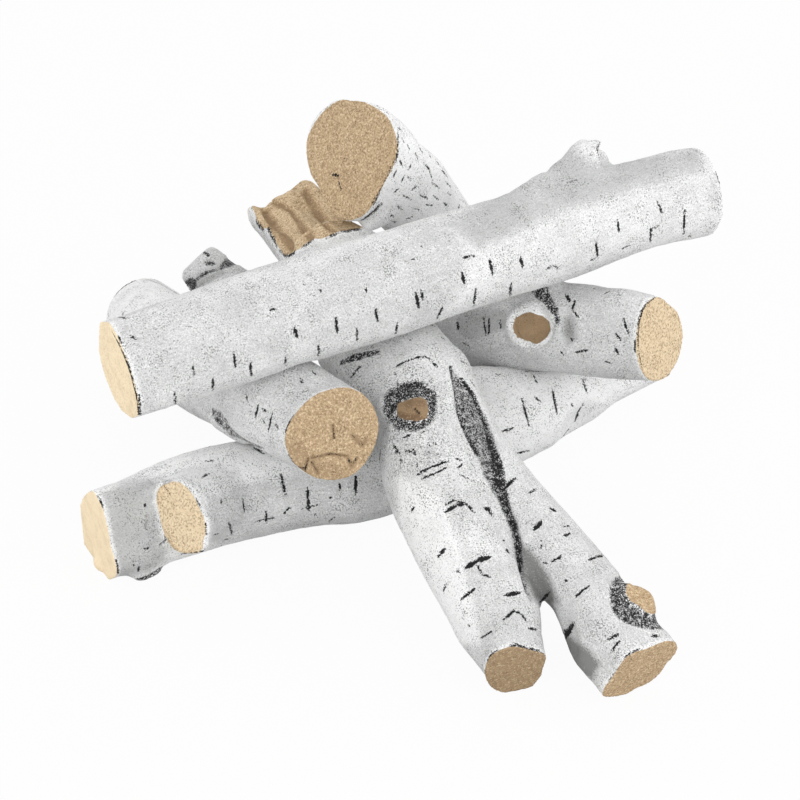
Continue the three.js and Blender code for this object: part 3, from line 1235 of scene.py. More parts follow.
    def fit_ends(self, piece: bpy.types.Object, cuts: list[Cut]) -> None:
        """Fits the outline of each end that the photograph shows, and makes the pulls.

        Args:
            piece: The log.
            cuts: Its ends.
        """
        points, _ = read_mesh(piece.data)
        for cut in cuts:
            if cut.end.outline:
                points = cut.fit(points, self.limbs)
                if cut.end.stub:
                    points = cut.press_flat(points)
        for pull in self.pulls:
            points = pull.move(points)
        piece.data.vertices.foreach_set("co", (points * MM).ravel())
        piece.data.update()

    def paint_ends(self, surface: Surface, cuts: list[Cut]) -> None:
        """Marks each end's wood, its paint and the dark flecks on its rim.

        Args:
            surface: The log's surface.
            cuts: Its ends.
        """
        wood, ink_and_shade, tone = (surface.fields[name] for name in ("wood", "ink_and_shade", "tone"))
        patches = self.grain.at(surface.points, self.FLECK_CELL)
        for cut in cuts:
            end = cut.end
            depth, flat = cut.measure(surface.points)
            over = self.CLOSE_WOOD_DEPTH if end.stub or end.local else self.WOOD_DEPTH
            inside = np.minimum(end.lip - depth, depth + over)
            inside = np.minimum(inside, (end.reach - flat) / self.REACH_SLOPE)
            if end.stub:
                inside = np.minimum(inside, inside_of(end.outline, surface.pixels) / PIXELS_PER_MM)
            else:
                inside[surface.limb_of != int(end.at[0])] = surface.FAR
            own = inside > wood
            tone[(inside > self.WOOD_TONE_RIM) & own] = end.tone
            wood[own] = inside[own]
            rim = 1 - rise(np.abs(inside + self.INK_RIM), *self.INK_RIM_EDGE)
            rim *= rise(patches, self.FLECK_SPAN[0] - end.flecks, self.FLECK_SPAN[1] - end.flecks)
            ink_and_shade[:] = np.maximum(ink_and_shade, self.INK_ON_RIM * rim)
            if end.kind is EndKind.BROKEN:
                chips = np.abs(self.grain.lumps(surface.points, self.CHIPS))
                surface.height -= chips * rise(inside, *self.CHIP_EDGE)

    def roughen(self, surface: Surface) -> None:
        """Gives the bark its lumps and wrinkles and grey zones, and the wood its saw marks.

        Args:
            surface: The log's surface.
        """
        grain, points = self.grain, surface.points
        bark = grain.lumps(points, self.LUMPS)
        bark += grain.lumps(surface.rolled * self.WRINKLE_STRETCH, self.WRINKLES)
        bark += grain.lumps(points, self.PORES) - self.BARK_DROP
        sawn = grain.lumps(points * self.SAW_STRETCH, self.SAW_MARKS) - self.SAW_DROP
        share = rise(surface.fields["wood"], *self.BARK_EDGE)
        surface.height += bark * (1 - share) + sawn * share
        surface.fields["grey"] += self.grey + grain.lumps(points + self.ZONE_SHIFT, self.ZONES)

    def add_forms(self, surface: Surface) -> None:
        """Sculpts what only this log has."""

    def paint_strokes(self, surface: Surface, rng: np.random.Generator) -> None:
        """Paints the strokes that the photograph shows.

        Args:
            surface: The log's surface.
            rng: Gives their uneven width.
        """
        for x1, y1, x2, y2, width in self.strokes:
            count = max(self.STROKE_STEPS, int(math.hypot(x2 - x1, y2 - y1)))
            places, halves = [], []
            for share in np.linspace(0, 1, count):
                landed = surface.seen((x1 + share * (x2 - x1), y1 + share * (y2 - y1)))
                if landed is not None:
                    places.append(landed[0])
                    taper = self.TAPER + (1 - self.TAPER) * math.sin(math.pi * share)
                    halves.append(width / 2 / PIXELS_PER_MM * taper * rng.uniform(*self.HAND))
            surface.stroke(places, halves)

    def strew_strokes(self, surface: Surface, pile: Pile, rng: np.random.Generator) -> None:
        """Paints like strokes on the sides that the photograph hides.

        Args:
            surface: The log's surface.
            pile: All packed logs.
            rng: Gives the strokes' places and sizes.
        """
        painted = 0
        for _ in range(self.TRIES * self.hidden_marks):
            if painted >= self.hidden_marks:
                break
            axis = surface.axes[rng.integers(len(surface.axes))]
            along = rng.uniform(self.END_MARGIN, axis.length - self.END_MARGIN)
            angle = rng.uniform(0, 2 * math.pi)
            span, lean = rng.uniform(*self.HIDDEN_TURN), rng.uniform(*self.HIDDEN_LEAN)
            landed = surface.hit(*axis.ray(along, angle))
            if landed is None or pile.shows(landed[0]):
                continue
            painted += 1
            places, halves = [], []
            for share in np.linspace(-1, 1, self.HIDDEN_STEPS):
                found = surface.hit(*axis.ray(along + lean * share, angle + span * share))
                if found is not None:
                    places.append(found[0])
                    half = self.HIDDEN_HALF * (1 - self.HIDDEN_TAPER * share * share)
                    halves.append(half * rng.uniform(*self.HIDDEN_HAND))
            surface.stroke(places, halves)

    def close_marks(self, surface: Surface) -> None:
        """Keeps strokes off the wood, sinks them a little and leaves the rims pale.

        Args:
            surface: The log's surface.
        """
        wood, mark = surface.fields["wood"], surface.fields["mark"]
        mark[:] = np.where(wood > self.MARK_STOP, surface.FAR, mark)
        surface.height -= self.MARK_DEPTH * rise(mark, *self.MARK_EDGE)
        surface.fields["grey"] *= 1 - self.PALE_RIM * rise(wood, *self.PALE_RIM_EDGE)


class ForkedLog(CastLog):
    """The Y-shaped log with its split rear end."""

    SPLIT_RUN = 95.0
    TORN_EDGE = (-0.5, 2.0)
    FIBRE = Relief(0.9, 3.4)
    FIBRE_STRETCH = (0.08, 1.0, 0.4)
    RIDGE_HEIGHT = 1.6
    RIDGE_PITCH = 7.5
    RIDGE_STRETCH = (0.03, 1.0, 0.0)
    RIDGE_DROP = 0.6
    TORN_RIM = (0.4, 2.4)
    TORN_CELL = 4.0
    TORN_PATCHES = (-0.5, 0.4)
    TORN_INK = 0.9
    TORN_REACH = -5.0

    def add_forms(self, surface: Surface) -> None:
        """Sculpts the torn ridges of the split end.

        Args:
            surface: The log's surface.
        """
        rolled = surface.rolled
        torn = inside_of(SPLIT_FACE, surface.pixels) / PIXELS_PER_MM
        torn = np.minimum(torn, (self.SPLIT_RUN - rolled[:, 0]) / self.REACH_SLOPE)
        torn[(surface.limb_of != 0) | (surface.facing < 0)] = surface.FAR
        fibre = self.grain.lumps(rolled * self.FIBRE_STRETCH, self.FIBRE)
        ridges = self.RIDGE_HEIGHT * self.grain.at(rolled * self.RIDGE_STRETCH, self.RIDGE_PITCH)
        surface.height += rise(torn, *self.TORN_EDGE) * (fibre + ridges - self.RIDGE_DROP)
        edge = rise(self.grain.at(surface.points, self.TORN_CELL), *self.TORN_PATCHES)
        edge = (1 - rise(np.abs(torn), *self.TORN_RIM)) * edge
        ink_and_shade = self.TORN_INK * edge * (torn > self.TORN_REACH)
        surface.fields["ink_and_shade"] = np.maximum(surface.fields["ink_and_shade"], ink_and_shade)


class Recipe:
    """Wires one material's nodes."""

    NOISE_ROUGHNESS = 0.6

    def __init__(self, name: str) -> None:
        """Starts an empty material.

        Args:
            name: The material's name.
        """
        self.material = bpy.data.materials.new(name)
        self.material.use_nodes = True
        self.tree = self.material.node_tree
        self.tree.nodes.clear()

    def node(self, kind: str, inputs: dict | None = None, **settings: object) -> bpy.types.Node:
        """Adds a node.

        Args:
            kind: The node's type name.
            inputs: Values or sockets for its inputs, by name or number.
            **settings: Its own settings.

        Returns:
            The node.
        """
        node = self.tree.nodes.new(kind)
        for name, value in settings.items():
            setattr(node, name, value)
        for name, value in (inputs or {}).items():
            self.feed(node.inputs[name], value)
        return node

    def feed(self, socket: bpy.types.NodeSocket, value: object) -> None:
        """Links a socket or sets a value.

        Args:
            socket: The input that takes it.
            value: Another node's socket, or a number or colour.
        """
        if isinstance(value, bpy.types.NodeSocket):
            self.tree.links.new(value, socket)
        else:
            socket.default_value = value

    def finish(self, shader: bpy.types.Node) -> bpy.types.Material:
        """Sends a shader to the material's output.

        Args:
            shader: The last shader.

        Returns:
            The material.
        """
        self.node("ShaderNodeOutputMaterial", {0: shader.outputs[0]})
        return self.material

    def field(self, name: str) -> bpy.types.NodeSocket:
        """Reads a painted field of the mesh."""
        return self.node("ShaderNodeAttribute", attribute_name=name).outputs["Fac"]

    def sum(self, kind: str, first: object, second: object, third: object = 0.0) -> bpy.types.NodeSocket:
        """Does one step of arithmetic."""
        return self.node("ShaderNodeMath", {0: first, 1: second, 2: third}, operation=kind).outputs[0]

    def ramp(self, value: object, span: Span) -> bpy.types.NodeSocket:
        """Rises smoothly from 0 at the span's first number to 1 at its second."""
        inputs = {"Value": value, "From Min": span[0], "From Max": span[1]}
        return self.node("ShaderNodeMapRange", inputs, interpolation_type="SMOOTHSTEP").outputs[0]

    def noise(self, vector: object, cell: float, detail: float) -> bpy.types.NodeSocket:
        """Makes noise from 0 to 1.

        Args:
            vector: Where it is read.
            cell: Its widest cells.
            detail: How many finer layers it has.

        Returns:
            The noise's socket.
        """
        inputs = {"Vector": vector, "Scale": 1 / (cell * MM), "Detail": detail}
        inputs["Roughness"] = self.NOISE_ROUGHNESS
        return self.node("ShaderNodeTexNoise", inputs).outputs[0]

    def blend(self, share: object, first: object, second: object) -> bpy.types.NodeSocket:
        """Mixes two colours.

        Args:
            share: How much of the second shows.
            first: The first colour or its socket.
            second: The second colour or its socket.

        Returns:
            The mixed colour's socket.
        """
        node = self.node("ShaderNodeMix", data_type="RGBA")
        for name, value in (("Factor_Float", share), ("A_Color", first), ("B_Color", second)):
            self.feed(next(socket for socket in node.inputs if socket.identifier == name), value)
        return next(socket for socket in node.outputs if socket.identifier == "Result_Color")


@dataclass(frozen=True)
class Layer:
    """One layer of noise in a finish.

    Attributes:
        cell: Its widest cells.
        detail: How many finer layers it has.
        strength: How much it adds, or how strongly its colour covers.
        span: Where on the noise, from 0 to 1, its colour starts and where it is full.
        stretch: How it is scaled along a log's own lines, or None where it lies in space.
    """

    cell: float
    detail: float
    strength: float = 1.0
    span: Span = (0.0, 1.0)
    stretch: Point | None = None


class BirchRecipe(Recipe):
    """Wires the nodes of a finish that lies on a log."""

    MIDDLE = 0.5

    def __init__(self, name: str) -> None:
        """Starts the material with the places that its layers are read at.

        Args:
            name: The material's name.
        """
        super().__init__(name)
        self.place = self.node("ShaderNodeTexCoord").outputs["Object"]
        self.rolled = self.node("ShaderNodeAttribute", attribute_name="rolled").outputs["Vector"]

    def read(self, layer: Layer) -> bpy.types.NodeSocket:
        """Reads a layer's noise.

        Args:
            layer: The layer.

        Returns:
            The noise's socket, from 0 to 1.
        """
        vector = self.place
        if layer.stretch:
            inputs = {"Vector": self.rolled, "Scale": layer.stretch}
            vector = self.node("ShaderNodeMapping", inputs).outputs[0]
        return self.noise(vector, layer.cell, layer.detail)

    def swing(self, noise: object) -> bpy.types.NodeSocket:
        """Centres noise on nought."""
        return self.sum("SUBTRACT", noise, self.MIDDLE)

    def add(self, noise: object, strength: float, base: object) -> bpy.types.NodeSocket:
        """Adds centred noise to a value."""
        return self.sum("MULTIPLY_ADD", noise, strength, base)

    def cover(
        self, layer: Layer, noise: object, colour: object, paint: Colour, where: object = None
    ) -> bpy.types.NodeSocket:
        """Paints a colour where a layer's noise is in its span.

        Args:
            layer: The layer.
            noise: Its noise.
            colour: The colour under it.
            paint: The colour that it paints.
            where: Share of the surface that takes it, or None for all.

        Returns:
            The painted colour's socket.
        """
        share = self.ramp(noise, layer.span)
        if where is not None:
            share = self.sum("MULTIPLY", share, where)
        if layer.strength != 1.0:
            share = self.sum("MULTIPLY", share, layer.strength)
        return self.blend(share, colour, paint)


@dataclass(frozen=True)
class BirchFinish:
    """The painted ceramic: white bark with grey spray and specks, dark ink, and grained tan wood; its
    grey, shade and dark colours also carry painted shade in hollows and on flanks turned from the light,
    and bark kept fully white carries painted light.

    Its fields are first the paints, then the bark's layers, then the wood's layers, and then
    the layers that fray the edges of the dark paint and painted shade, marks and wood. A span is where a
    painted field or a noise goes from nothing to its full colour. Sizes are in millimetres.
    """

    white: Colour = (0.95, 0.953, 0.95, 1)
    grey: Colour = (0.52, 0.525, 0.52, 1)
    shade: Colour = (0.24, 0.243, 0.235, 1)
    speck: Colour = (0.2, 0.203, 0.2, 1)
    dark: Colour = (0.014, 0.0135, 0.0145, 1)
    # Mid grey where the dark field is thin; it also carries painted shade in the fork's groove and along
    # a contact line.
    dust_and_shade: Colour = (0.17, 0.17, 0.172, 1)
    pale_wood: Colour = (0.98, 0.82, 0.575, 1)
    tan_wood: Colour = (0.56, 0.405, 0.245, 1)
    deep_wood: Colour = (0.34, 0.235, 0.135, 1)
    wood_speck: Colour = (0.17, 0.105, 0.06, 1)
    roughness: float = 0.88
    specular: float = 0.25
    clouds: Layer = Layer(22.0, 5.0, 0.9)
    streaks: Layer = Layer(1.6, 4.0, 0.8, stretch=(0.22, 1.0, 1.0))
    sand: Layer = Layer(0.85, 3.0, 2.9)
    grey_span: Span = (-0.4, 1.1)
    shade_span: Span = (1.1, 2.1)
    dots: Layer = Layer(0.85, 2.0, span=(0.81, 0.87))
    dot_crowds: Layer = Layer(14.0, 2.0, 0.4)
    rings: Layer = Layer(2.6, 3.0, span=(0.68, 0.84), stretch=(1.0, 0.18, 0.18))
    tan_span: Span = (0.0, 0.6)
    deep_span: Span = (0.6, 1.0)
    darkest_span: Span = (1.0, 1.6)
    wood_patches: Layer = Layer(9.0, 4.0, 0.35, (0.4, 0.8))
    light_grain: Layer = Layer(1.35, 3.0, 0.5, (0.53, 0.64))
    deep_grain: Layer = Layer(1.35, 3.0, 0.95, (0.47, 0.37))
    swirls: Layer = Layer(3.2, 3.0, 0.5, (0.53, 0.72))
    wood_specks: Layer = Layer(0.8, 2.0, 0.85, (0.75, 0.82))
    wood_crowds: Layer = Layer(8.0, 1.0, 0.3)
    light_tones: Span = (1.3, 0.6)
    rough_tones: Span = (-0.25, 0.5)
    grit: Layer = Layer(1.7, 3.0)
    fine_grit: Layer = Layer(0.8, 2.0)
    drift: Layer = Layer(5.0, 2.0)
    ink_and_shade_edge: float = 2.4
    ink_and_shade_drift: float = 1.8
    ink_and_shade_fine: float = 4.2
    mark_edge: float = 2.3
    mark_fine: float = 2.6
    wood_edge: float = 1.0
    dust_and_shade_span: Span = (0.3, 0.5)
    ink_and_shade_span: Span = (0.55, 0.8)
    mark_span: Span = (-0.5, -0.2)
    wood_span: Span = (-0.15, 0.2)
    wood_ink_and_shade_span: Span = (0.6, 0.85)
    fine_height: float = 0.35
    bump: float = 0.55
    bump_depth: float = 0.5

    def bark(self, recipe: BirchRecipe) -> bpy.types.NodeSocket:
        """Paints the bark.

        Args:
            recipe: The material's recipe.

        Returns:
            The bark's colour.
        """
        grey = recipe.field("grey")
        for layer in (self.clouds, self.streaks, self.sand):
            grey = recipe.add(recipe.swing(recipe.read(layer)), layer.strength, grey)
        colour = recipe.blend(recipe.ramp(grey, self.grey_span), self.white, self.grey)
        colour = recipe.blend(recipe.ramp(grey, self.shade_span), colour, self.shade)
        crowds = recipe.read(self.dot_crowds)
        dots = recipe.add(crowds, self.dot_crowds.strength, recipe.read(self.dots))
        colour = recipe.cover(self.dots, dots, colour, self.speck)
        return recipe.cover(self.rings, recipe.read(self.rings), colour, self.grey)

    def wood(self, recipe: BirchRecipe) -> bpy.types.NodeSocket:
        """Paints the wood.

        Args:
            recipe: The material's recipe.

        Returns:
            The wood's colour.
        """
        tone = recipe.field("tone")
        colour = self.pale_wood
        tones = (
            (self.tan_span, self.tan_wood),
            (self.deep_span, self.deep_wood),
            (self.darkest_span, self.wood_speck),
        )
        for span, paint in tones:
            colour = recipe.blend(recipe.ramp(tone, span), colour, paint)
        colour = recipe.cover(self.wood_patches, recipe.read(self.wood_patches), colour, self.tan_wood)
        grain = recipe.read(self.light_grain)
        light, rough = recipe.ramp(tone, self.light_tones), recipe.ramp(tone, self.rough_tones)
        colour = recipe.cover(self.light_grain, grain, colour, self.pale_wood, light)
        colour = recipe.cover(self.deep_grain, grain, colour, self.deep_wood, rough)
        colour = recipe.cover(self.swirls, recipe.read(self.swirls), colour, self.deep_wood, rough)
        crowds = recipe.read(self.wood_crowds)
        specks = recipe.add(crowds, self.wood_crowds.strength, recipe.read(self.wood_specks))
        return recipe.cover(self.wood_specks, specks, colour, self.wood_speck, rough)

    def build(self) -> bpy.types.Material:
        """Makes the material.

        Returns:
            The material.
        """
        recipe = BirchRecipe("painted_birch_ceramic")
        grit, fine_grit = recipe.read(self.grit), recipe.read(self.fine_grit)
        edge, fine = recipe.swing(grit), recipe.swing(fine_grit)
        drift = recipe.swing(recipe.read(self.drift))
        worn = recipe.add(edge, self.ink_and_shade_edge, recipe.add(drift, self.ink_and_shade_drift, 1.0))
        worn = recipe.add(fine, self.ink_and_shade_fine, worn)
        ink_and_shade = recipe.sum("MULTIPLY", recipe.field("ink_and_shade"), worn)
        mark = recipe.add(edge, self.mark_edge, recipe.field("mark"))
        mark = recipe.add(fine, self.mark_fine, mark)
        colour = recipe.blend(recipe.ramp(ink_and_shade, self.dust_and_shade_span), self.bark(recipe), self.dust_and_shade)
        colour = recipe.blend(recipe.ramp(ink_and_shade, self.ink_and_shade_span), colour, self.dark)
        colour = recipe.blend(recipe.ramp(mark, self.mark_span), colour, self.dark)
        wood = recipe.blend(recipe.ramp(ink_and_shade, self.wood_ink_and_shade_span), self.wood(recipe), self.dark)
        share = recipe.add(edge, self.wood_edge, recipe.field("wood"))
        colour = recipe.blend(recipe.ramp(share, self.wood_span), colour, wood)
        height = recipe.add(fine_grit, self.fine_height, grit)
        relief = {"Height": height, "Strength": self.bump, "Distance": self.bump_depth * MM}
        bump = recipe.node("ShaderNodeBump", relief)
        looks = {"Base Color": colour, "Roughness": self.roughness, "Normal": bump.outputs[0]}
        looks["Specular IOR Level"] = self.specular
        return recipe.finish(recipe.node("ShaderNodeBsdfPrincipled", looks))


@dataclass(frozen=True)
class Lamp:
    """A soft square lamp that faces the set.

    Attributes:
        name: Its name.
        place: Its place in metres.
        size: Its side in metres.
        watts: Its power.
    """

    name: str
    place: Point
    size: float
    watts: float

    def build(self) -> None:
        """Makes the lamp."""
        data = bpy.data.lights.new(self.name, "AREA")
        data.size = self.size
        data.energy = self.watts
        lamp = bpy.data.objects.new(self.name, data)
        bpy.context.scene.collection.objects.link(lamp)
        lamp.location = self.place
        lamp.rotation_euler = (-Vector(self.place)).to_track_quat("-Z", "Y").to_euler()


@dataclass(frozen=True)
class Studio:
    """The pale floor, the backdrop and the soft lamps.

    Attributes:
        floor: The floor's side in metres.
        matt: The floor's own colour.
        white: The colour that the camera sees.
        ambient: Strength of the even light from all round.
        floor_lift: How much of the floor the camera sees as plain white.
        lamps: The lamps.
    """

    floor: float = 12.0
    matt: Colour = (0.7, 0.7, 0.7, 1)
    white: Colour = (1, 1, 1, 1)
    ambient: float = 0.56
    floor_lift: float = 0.95
    lamps: tuple[Lamp, ...] = (
        Lamp("key", (-0.9, -1.6, 1.3), 1.3, 16.5),
        Lamp("fill", (1.5, -1.2, 1.3), 1.6, 14.5),
        Lamp("back", (0.6, 1.6, 1.6), 1.6, 10.0),
        Lamp("side", (2.0, 0.2, 0.9), 1.2, 9.0),
        Lamp("left", (-1.8, 0.7, 1.0), 1.4, 7.5),
    )

    def build(self) -> None:
        """Makes the floor, the world and the lamps."""
        bpy.ops.object.select_all(action="DESELECT")
        bpy.ops.mesh.primitive_plane_add(size=self.floor, location=(0, 0, 0))
        floor = bpy.context.object
        floor.name = "floor"
        floor.data.materials.append(self.floor_finish())
        floor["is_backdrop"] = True
        self.world()
        for lamp in self.lamps:
            lamp.build()

    def floor_finish(self) -> bpy.types.Material:
        """Makes the floor's matt white, lifted for the camera.

        Returns:
            The material.
        """
        recipe = Recipe("floor_white")
        matt = recipe.node("ShaderNodeBsdfDiffuse", {"Color": self.matt})
        glow = recipe.node("ShaderNodeEmission", {"Color": self.white, "Strength": 1.0})
        path = recipe.node("ShaderNodeLightPath")
        seen = recipe.sum("MAXIMUM", path.outputs["Is Camera Ray"], path.outputs["Is Glossy Ray"])
        share = recipe.sum("MULTIPLY", seen, self.floor_lift)
        shaders = {0: share, 1: matt.outputs[0], 2: glow.outputs[0]}
        return recipe.finish(recipe.node("ShaderNodeMixShader", shaders))

    def world(self) -> None:
        """Makes the even light from all round and the white that the camera sees."""
        world = bpy.data.worlds.new("studio")
        bpy.context.scene.world = world
        world.use_nodes = True
        nodes, links = world.node_tree.nodes, world.node_tree.links
        nodes.clear()
        path = nodes.new("ShaderNodeLightPath")
        mix = nodes.new("ShaderNodeMixShader")
        links.new(path.outputs["Is Camera Ray"], mix.inputs[0])
        for slot, strength in ((1, self.ambient), (2, 1.0)):
            glow = nodes.new("ShaderNodeBackground")
            glow.inputs["Color"].default_value = self.white
            glow.inputs["Strength"].default_value = strength
            links.new(glow.outputs[0], mix.inputs[slot])
        output = nodes.new("ShaderNodeOutputWorld")
        links.new(mix.outputs[0], output.inputs[0])


# Rims of the sawn ends, and edges of the split, groove, knots and dark patches: columns and rows
TOP_FACE = (
    (99, 322), (98, 340), (99, 356), (103, 372), (108, 386), (114, 400), (121, 411), (131, 419),
    (137, 416), (138, 406), (135, 391), (131, 375), (126, 360), (120, 346), (113, 331), (107, 322),
)
LEANING_FACE = (
    (338, 99), (360, 100), (370, 102), (380, 106), (388, 113), (394, 121), (398, 131), (398, 141),
    (397, 150), (395, 159), (391, 168), (387, 177), (382, 186), (377, 195), (371, 204), (366, 212),
    (358, 218), (350, 220), (342, 219), (334, 213), (328, 204), (322, 193), (316, 182), (310, 172),
    (307, 160), (306, 148), (307, 136), (309, 125), (314, 116), (320, 110), (328, 103),
)
LEFT_FACE = (
    (330, 390), (340, 388), (350, 388), (360, 391), (368, 398), (374, 406), (378, 415), (380, 425),
    (379, 435), (376, 446), (371, 456), (364, 466), (356, 474), (346, 479), (334, 481), (322, 480),
    (312, 477), (303, 471), (294, 463), (288, 452), (285, 441), (287, 431), (291, 422), (297, 412),
    (305, 403), (314, 396), (322, 392),
)
REAR_FACE = (
    (657, 298), (663, 300), (670, 304), (677, 310), (681, 317), (683, 327), (684, 338), (682, 350),
    (679, 360), (674, 369), (668, 377), (660, 381), (652, 381), (646, 376), (641, 368), (638, 357),
    (637, 345), (638, 332), (640, 321), (644, 311), (649, 303),
)
FRONT_FACE = (
    (88, 493), (95, 494), (99, 499), (101, 510), (104, 520), (107, 533), (109, 545), (112, 556),
    (115, 567), (116, 575), (113, 579), (105, 580), (99, 576), (93, 567), (88, 556), (84, 545), (81, 533),
    (79, 520), (79, 508), (82, 498),
)
BRANCH_FACE = (
    (165, 484), (172, 481), (180, 482), (188, 488), (194, 496), (199, 506), (203, 515), (206, 524),
    (206, 533), (203, 541), (203, 549), (198, 553), (188, 554), (180, 553), (173, 549), (168, 542),
    (164, 534), (161, 525), (159, 514), (157, 503), (157, 493), (160, 487),
)
LEFT_LEG_FACE = (
    (492, 656), (500, 651), (510, 648), (520, 649), (530, 651), (540, 653), (546, 656), (546, 662),
    (543, 670), (540, 678), (535, 684), (528, 690), (518, 694), (508, 695), (498, 692), (491, 688),
    (486, 681), (485, 673), (487, 665),
)
RIGHT_LEG_FACE = (
    (605, 690), (610, 684), (615, 675), (620, 668), (625, 660), (632, 655), (640, 652), (648, 650),
    (656, 646), (662, 644), (670, 642), (677, 643), (679, 648), (675, 654), (669, 661), (660, 669),
    (652, 676), (643, 683), (634, 690), (625, 696), (612, 697), (603, 697),
)
SPLIT_FACE = (
    (250, 203), (258, 200), (266, 198), (275, 194), (284, 188), (293, 183), (300, 178), (305, 173),
    (312, 160), (372, 200), (366, 224), (362, 227), (350, 229), (340, 230), (332, 234), (322, 238),
    (312, 238), (305, 244), (298, 249), (290, 254), (284, 256), (277, 246), (272, 236), (268, 228),
    (262, 229), (257, 222), (254, 212),
)
GROOVE = (
    (449, 364), (452, 378), (455, 390), (455, 402), (457, 412), (460, 422), (465, 432), (470, 443),
    (475, 453), (480, 464), (482, 474), (488, 482), (490, 490), (496, 498), (500, 508), (506, 518),
    (509, 530), (516, 552), (526, 590), (532, 601), (524, 560), (518, 528), (515, 518), (511, 508),
    (507, 498), (505, 490), (511, 482), (501, 475), (500, 460), (498, 446), (495, 432), (490, 418),
    (485, 410), (478, 400), (470, 389), (460, 376),
)
LEFT_KNOT_RING = (
    (383, 395), (382, 410), (388, 424), (398, 430), (412, 431), (425, 428), (434, 420), (437, 405),
    (437, 392), (428, 385), (415, 379), (402, 381), (390, 387),
)
LEFT_KNOT_CORE = (
    (396, 412), (397, 403), (405, 400), (413, 397), (422, 396), (428, 400), (429, 410), (427, 418),
    (418, 421), (405, 420), (398, 417),
)
RIGHT_KNOT_RING = (
    (631, 571), (620, 574), (612, 580), (609, 588), (610, 600), (612, 610), (618, 618), (628, 624),
    (640, 628), (655, 629), (668, 628), (672, 620), (660, 596), (645, 580),
)
RIGHT_KNOT_CORE = (
    (632, 576), (645, 580), (660, 592), (668, 608), (661, 613), (652, 614), (645, 611), (638, 604),
    (630, 600), (626, 592), (627, 584),
)
REAR_KNOT_CORE = (
    (512, 326), (514, 318), (522, 314), (532, 313), (542, 315), (548, 321), (550, 330), (546, 338),
    (538, 342), (526, 343), (517, 339), (513, 333),
)
REAR_ARC = (
    (530, 290), (540, 286), (548, 287), (552, 298), (558, 308), (560, 322), (557, 325), (553, 315),
    (545, 305), (535, 297),
)
STUB_BAND = (
    (181, 294), (182, 286), (190, 282), (196, 278), (200, 274), (206, 271), (214, 268), (220, 266),
    (226, 258), (232, 254), (236, 258), (238, 263), (230, 266), (220, 270), (210, 273), (202, 277),
    (196, 282), (188, 294),
)
UNDERSIDE_DARK = (
    (124, 582), (133, 580), (142, 578), (150, 574), (158, 569), (165, 566), (160, 574), (150, 580),
    (138, 584),
)

# Dark strokes of each log: column and row of the start and of the stop, and the width
TOP_STROKES = (
    (270, 309.5, 275, 309, 1.8), (295, 328, 298.2, 338, 2.6), (117.5, 338, 122, 350, 2.2),
    (124, 354, 129, 366, 2.2), (593, 146, 600, 144, 1.6), (597, 148, 599.4, 156, 1.6),
    (592, 143, 595, 142, 1.4), (130, 370, 134, 384, 2), (136, 388, 139.5, 404, 2.2),
    (139.5, 406, 140, 418, 2.6), (131, 336, 136, 339, 1.6), (336, 318, 338, 333, 2.6),
    (375.8, 309, 378.2, 322.4, 2.4), (357, 328, 358, 342, 1.6), (319, 346, 319, 356, 2.2),
    (286, 357, 286, 366, 1.8), (251, 364, 252, 378, 2.2), (234, 353, 236, 368, 2.4),
    (213, 379, 213, 391, 2.2), (175, 392, 176, 406, 1.8), (193, 367, 194, 375, 1.4),
    (398, 323.6, 395.6, 335.2, 2.2), (416.2, 292.8, 419.9, 309, 2.8), (421.8, 290.9, 423.5, 300.6, 2.4),
    (443, 307.9, 437.6, 319.5, 2.4), (462.3, 272.7, 464.7, 283.6, 3.2), (489.7, 260, 493.5, 275, 2.8),
    (476.3, 288.5, 473.9, 306.6, 1.8), (511.5, 283.6, 509.5, 297.4, 2.4), (520.7, 258, 522.9, 267, 3),
    (463.7, 257.4, 474, 255.8, 1.4), (546.6, 268.6, 553, 266, 1.4), (553, 266, 561.2, 269, 1.4),
    (596.3, 241.7, 597.5, 258.2, 2.2), (591, 260, 597, 258, 1.4), (617.6, 220, 619.3, 231.5, 2.2),
    (623, 248.5, 630, 246, 1.6), (650.8, 229, 650.6, 242.4, 2.2), (651, 229.6, 660.5, 225.4, 1.4),
    (658, 202, 663, 214, 1.8), (685, 210.4, 684, 234, 2.2), (689, 236.4, 691, 237, 2),
    (304, 282, 305, 286, 1.4), (320, 289, 321, 291, 1.6), (366, 288, 367, 292, 1.6),
    (412, 259.5, 415, 258, 1.2), (421, 245, 422, 247, 1.6),
)
FRONT_STROKES = (
    (202, 477, 209, 473, 2), (281, 474.4, 286.1, 496, 2), (307.7, 488.4, 309.3, 511.2, 2.6),
    (303, 509, 320, 505, 1.4), (243, 498, 245.2, 511.4, 2), (221.7, 500, 221.7, 503, 1.8),
    (229.3, 522.3, 232.2, 533.7, 2.2), (214, 535, 218, 534, 1.6), (224, 541, 229, 539, 1.4),
    (266.2, 511.7, 266.6, 524.2, 2), (255, 522, 275, 518, 1.2), (284, 514, 290, 508, 1.8),
    (356, 476.3, 356.2, 494.5, 2.8), (339.9, 484, 340, 490, 1.6), (315, 515, 316, 516, 1.6),
    (330, 498, 331, 498.4, 1.6), (329, 522, 336, 517, 1.2), (145, 549, 149, 548, 1.4),
    (145.3, 504.5, 145.8, 506, 1.6), (139.3, 567, 138.7, 572, 1.8), (134, 565.6, 135, 566.6, 1.6),
    (104, 512.5, 104.5, 515, 1.6), (254, 447, 264, 453, 2.2), (206, 461, 214, 460, 1.4),
    (533.3, 374.5, 537.6, 383, 1.6), (583, 379.4, 587, 392.7, 1.8), (552.7, 389, 557, 414, 1.8),
    (522, 398, 529, 426, 2), (535, 397, 541, 402, 2), (583, 404, 583.6, 406, 1.6),
    (572, 404, 572.6, 406, 1.6), (515, 454, 529, 451, 2.2), (501, 432, 513, 428, 1.6),
    (562, 438, 570, 428, 1.6), (497, 374, 500, 374, 2.4),
)
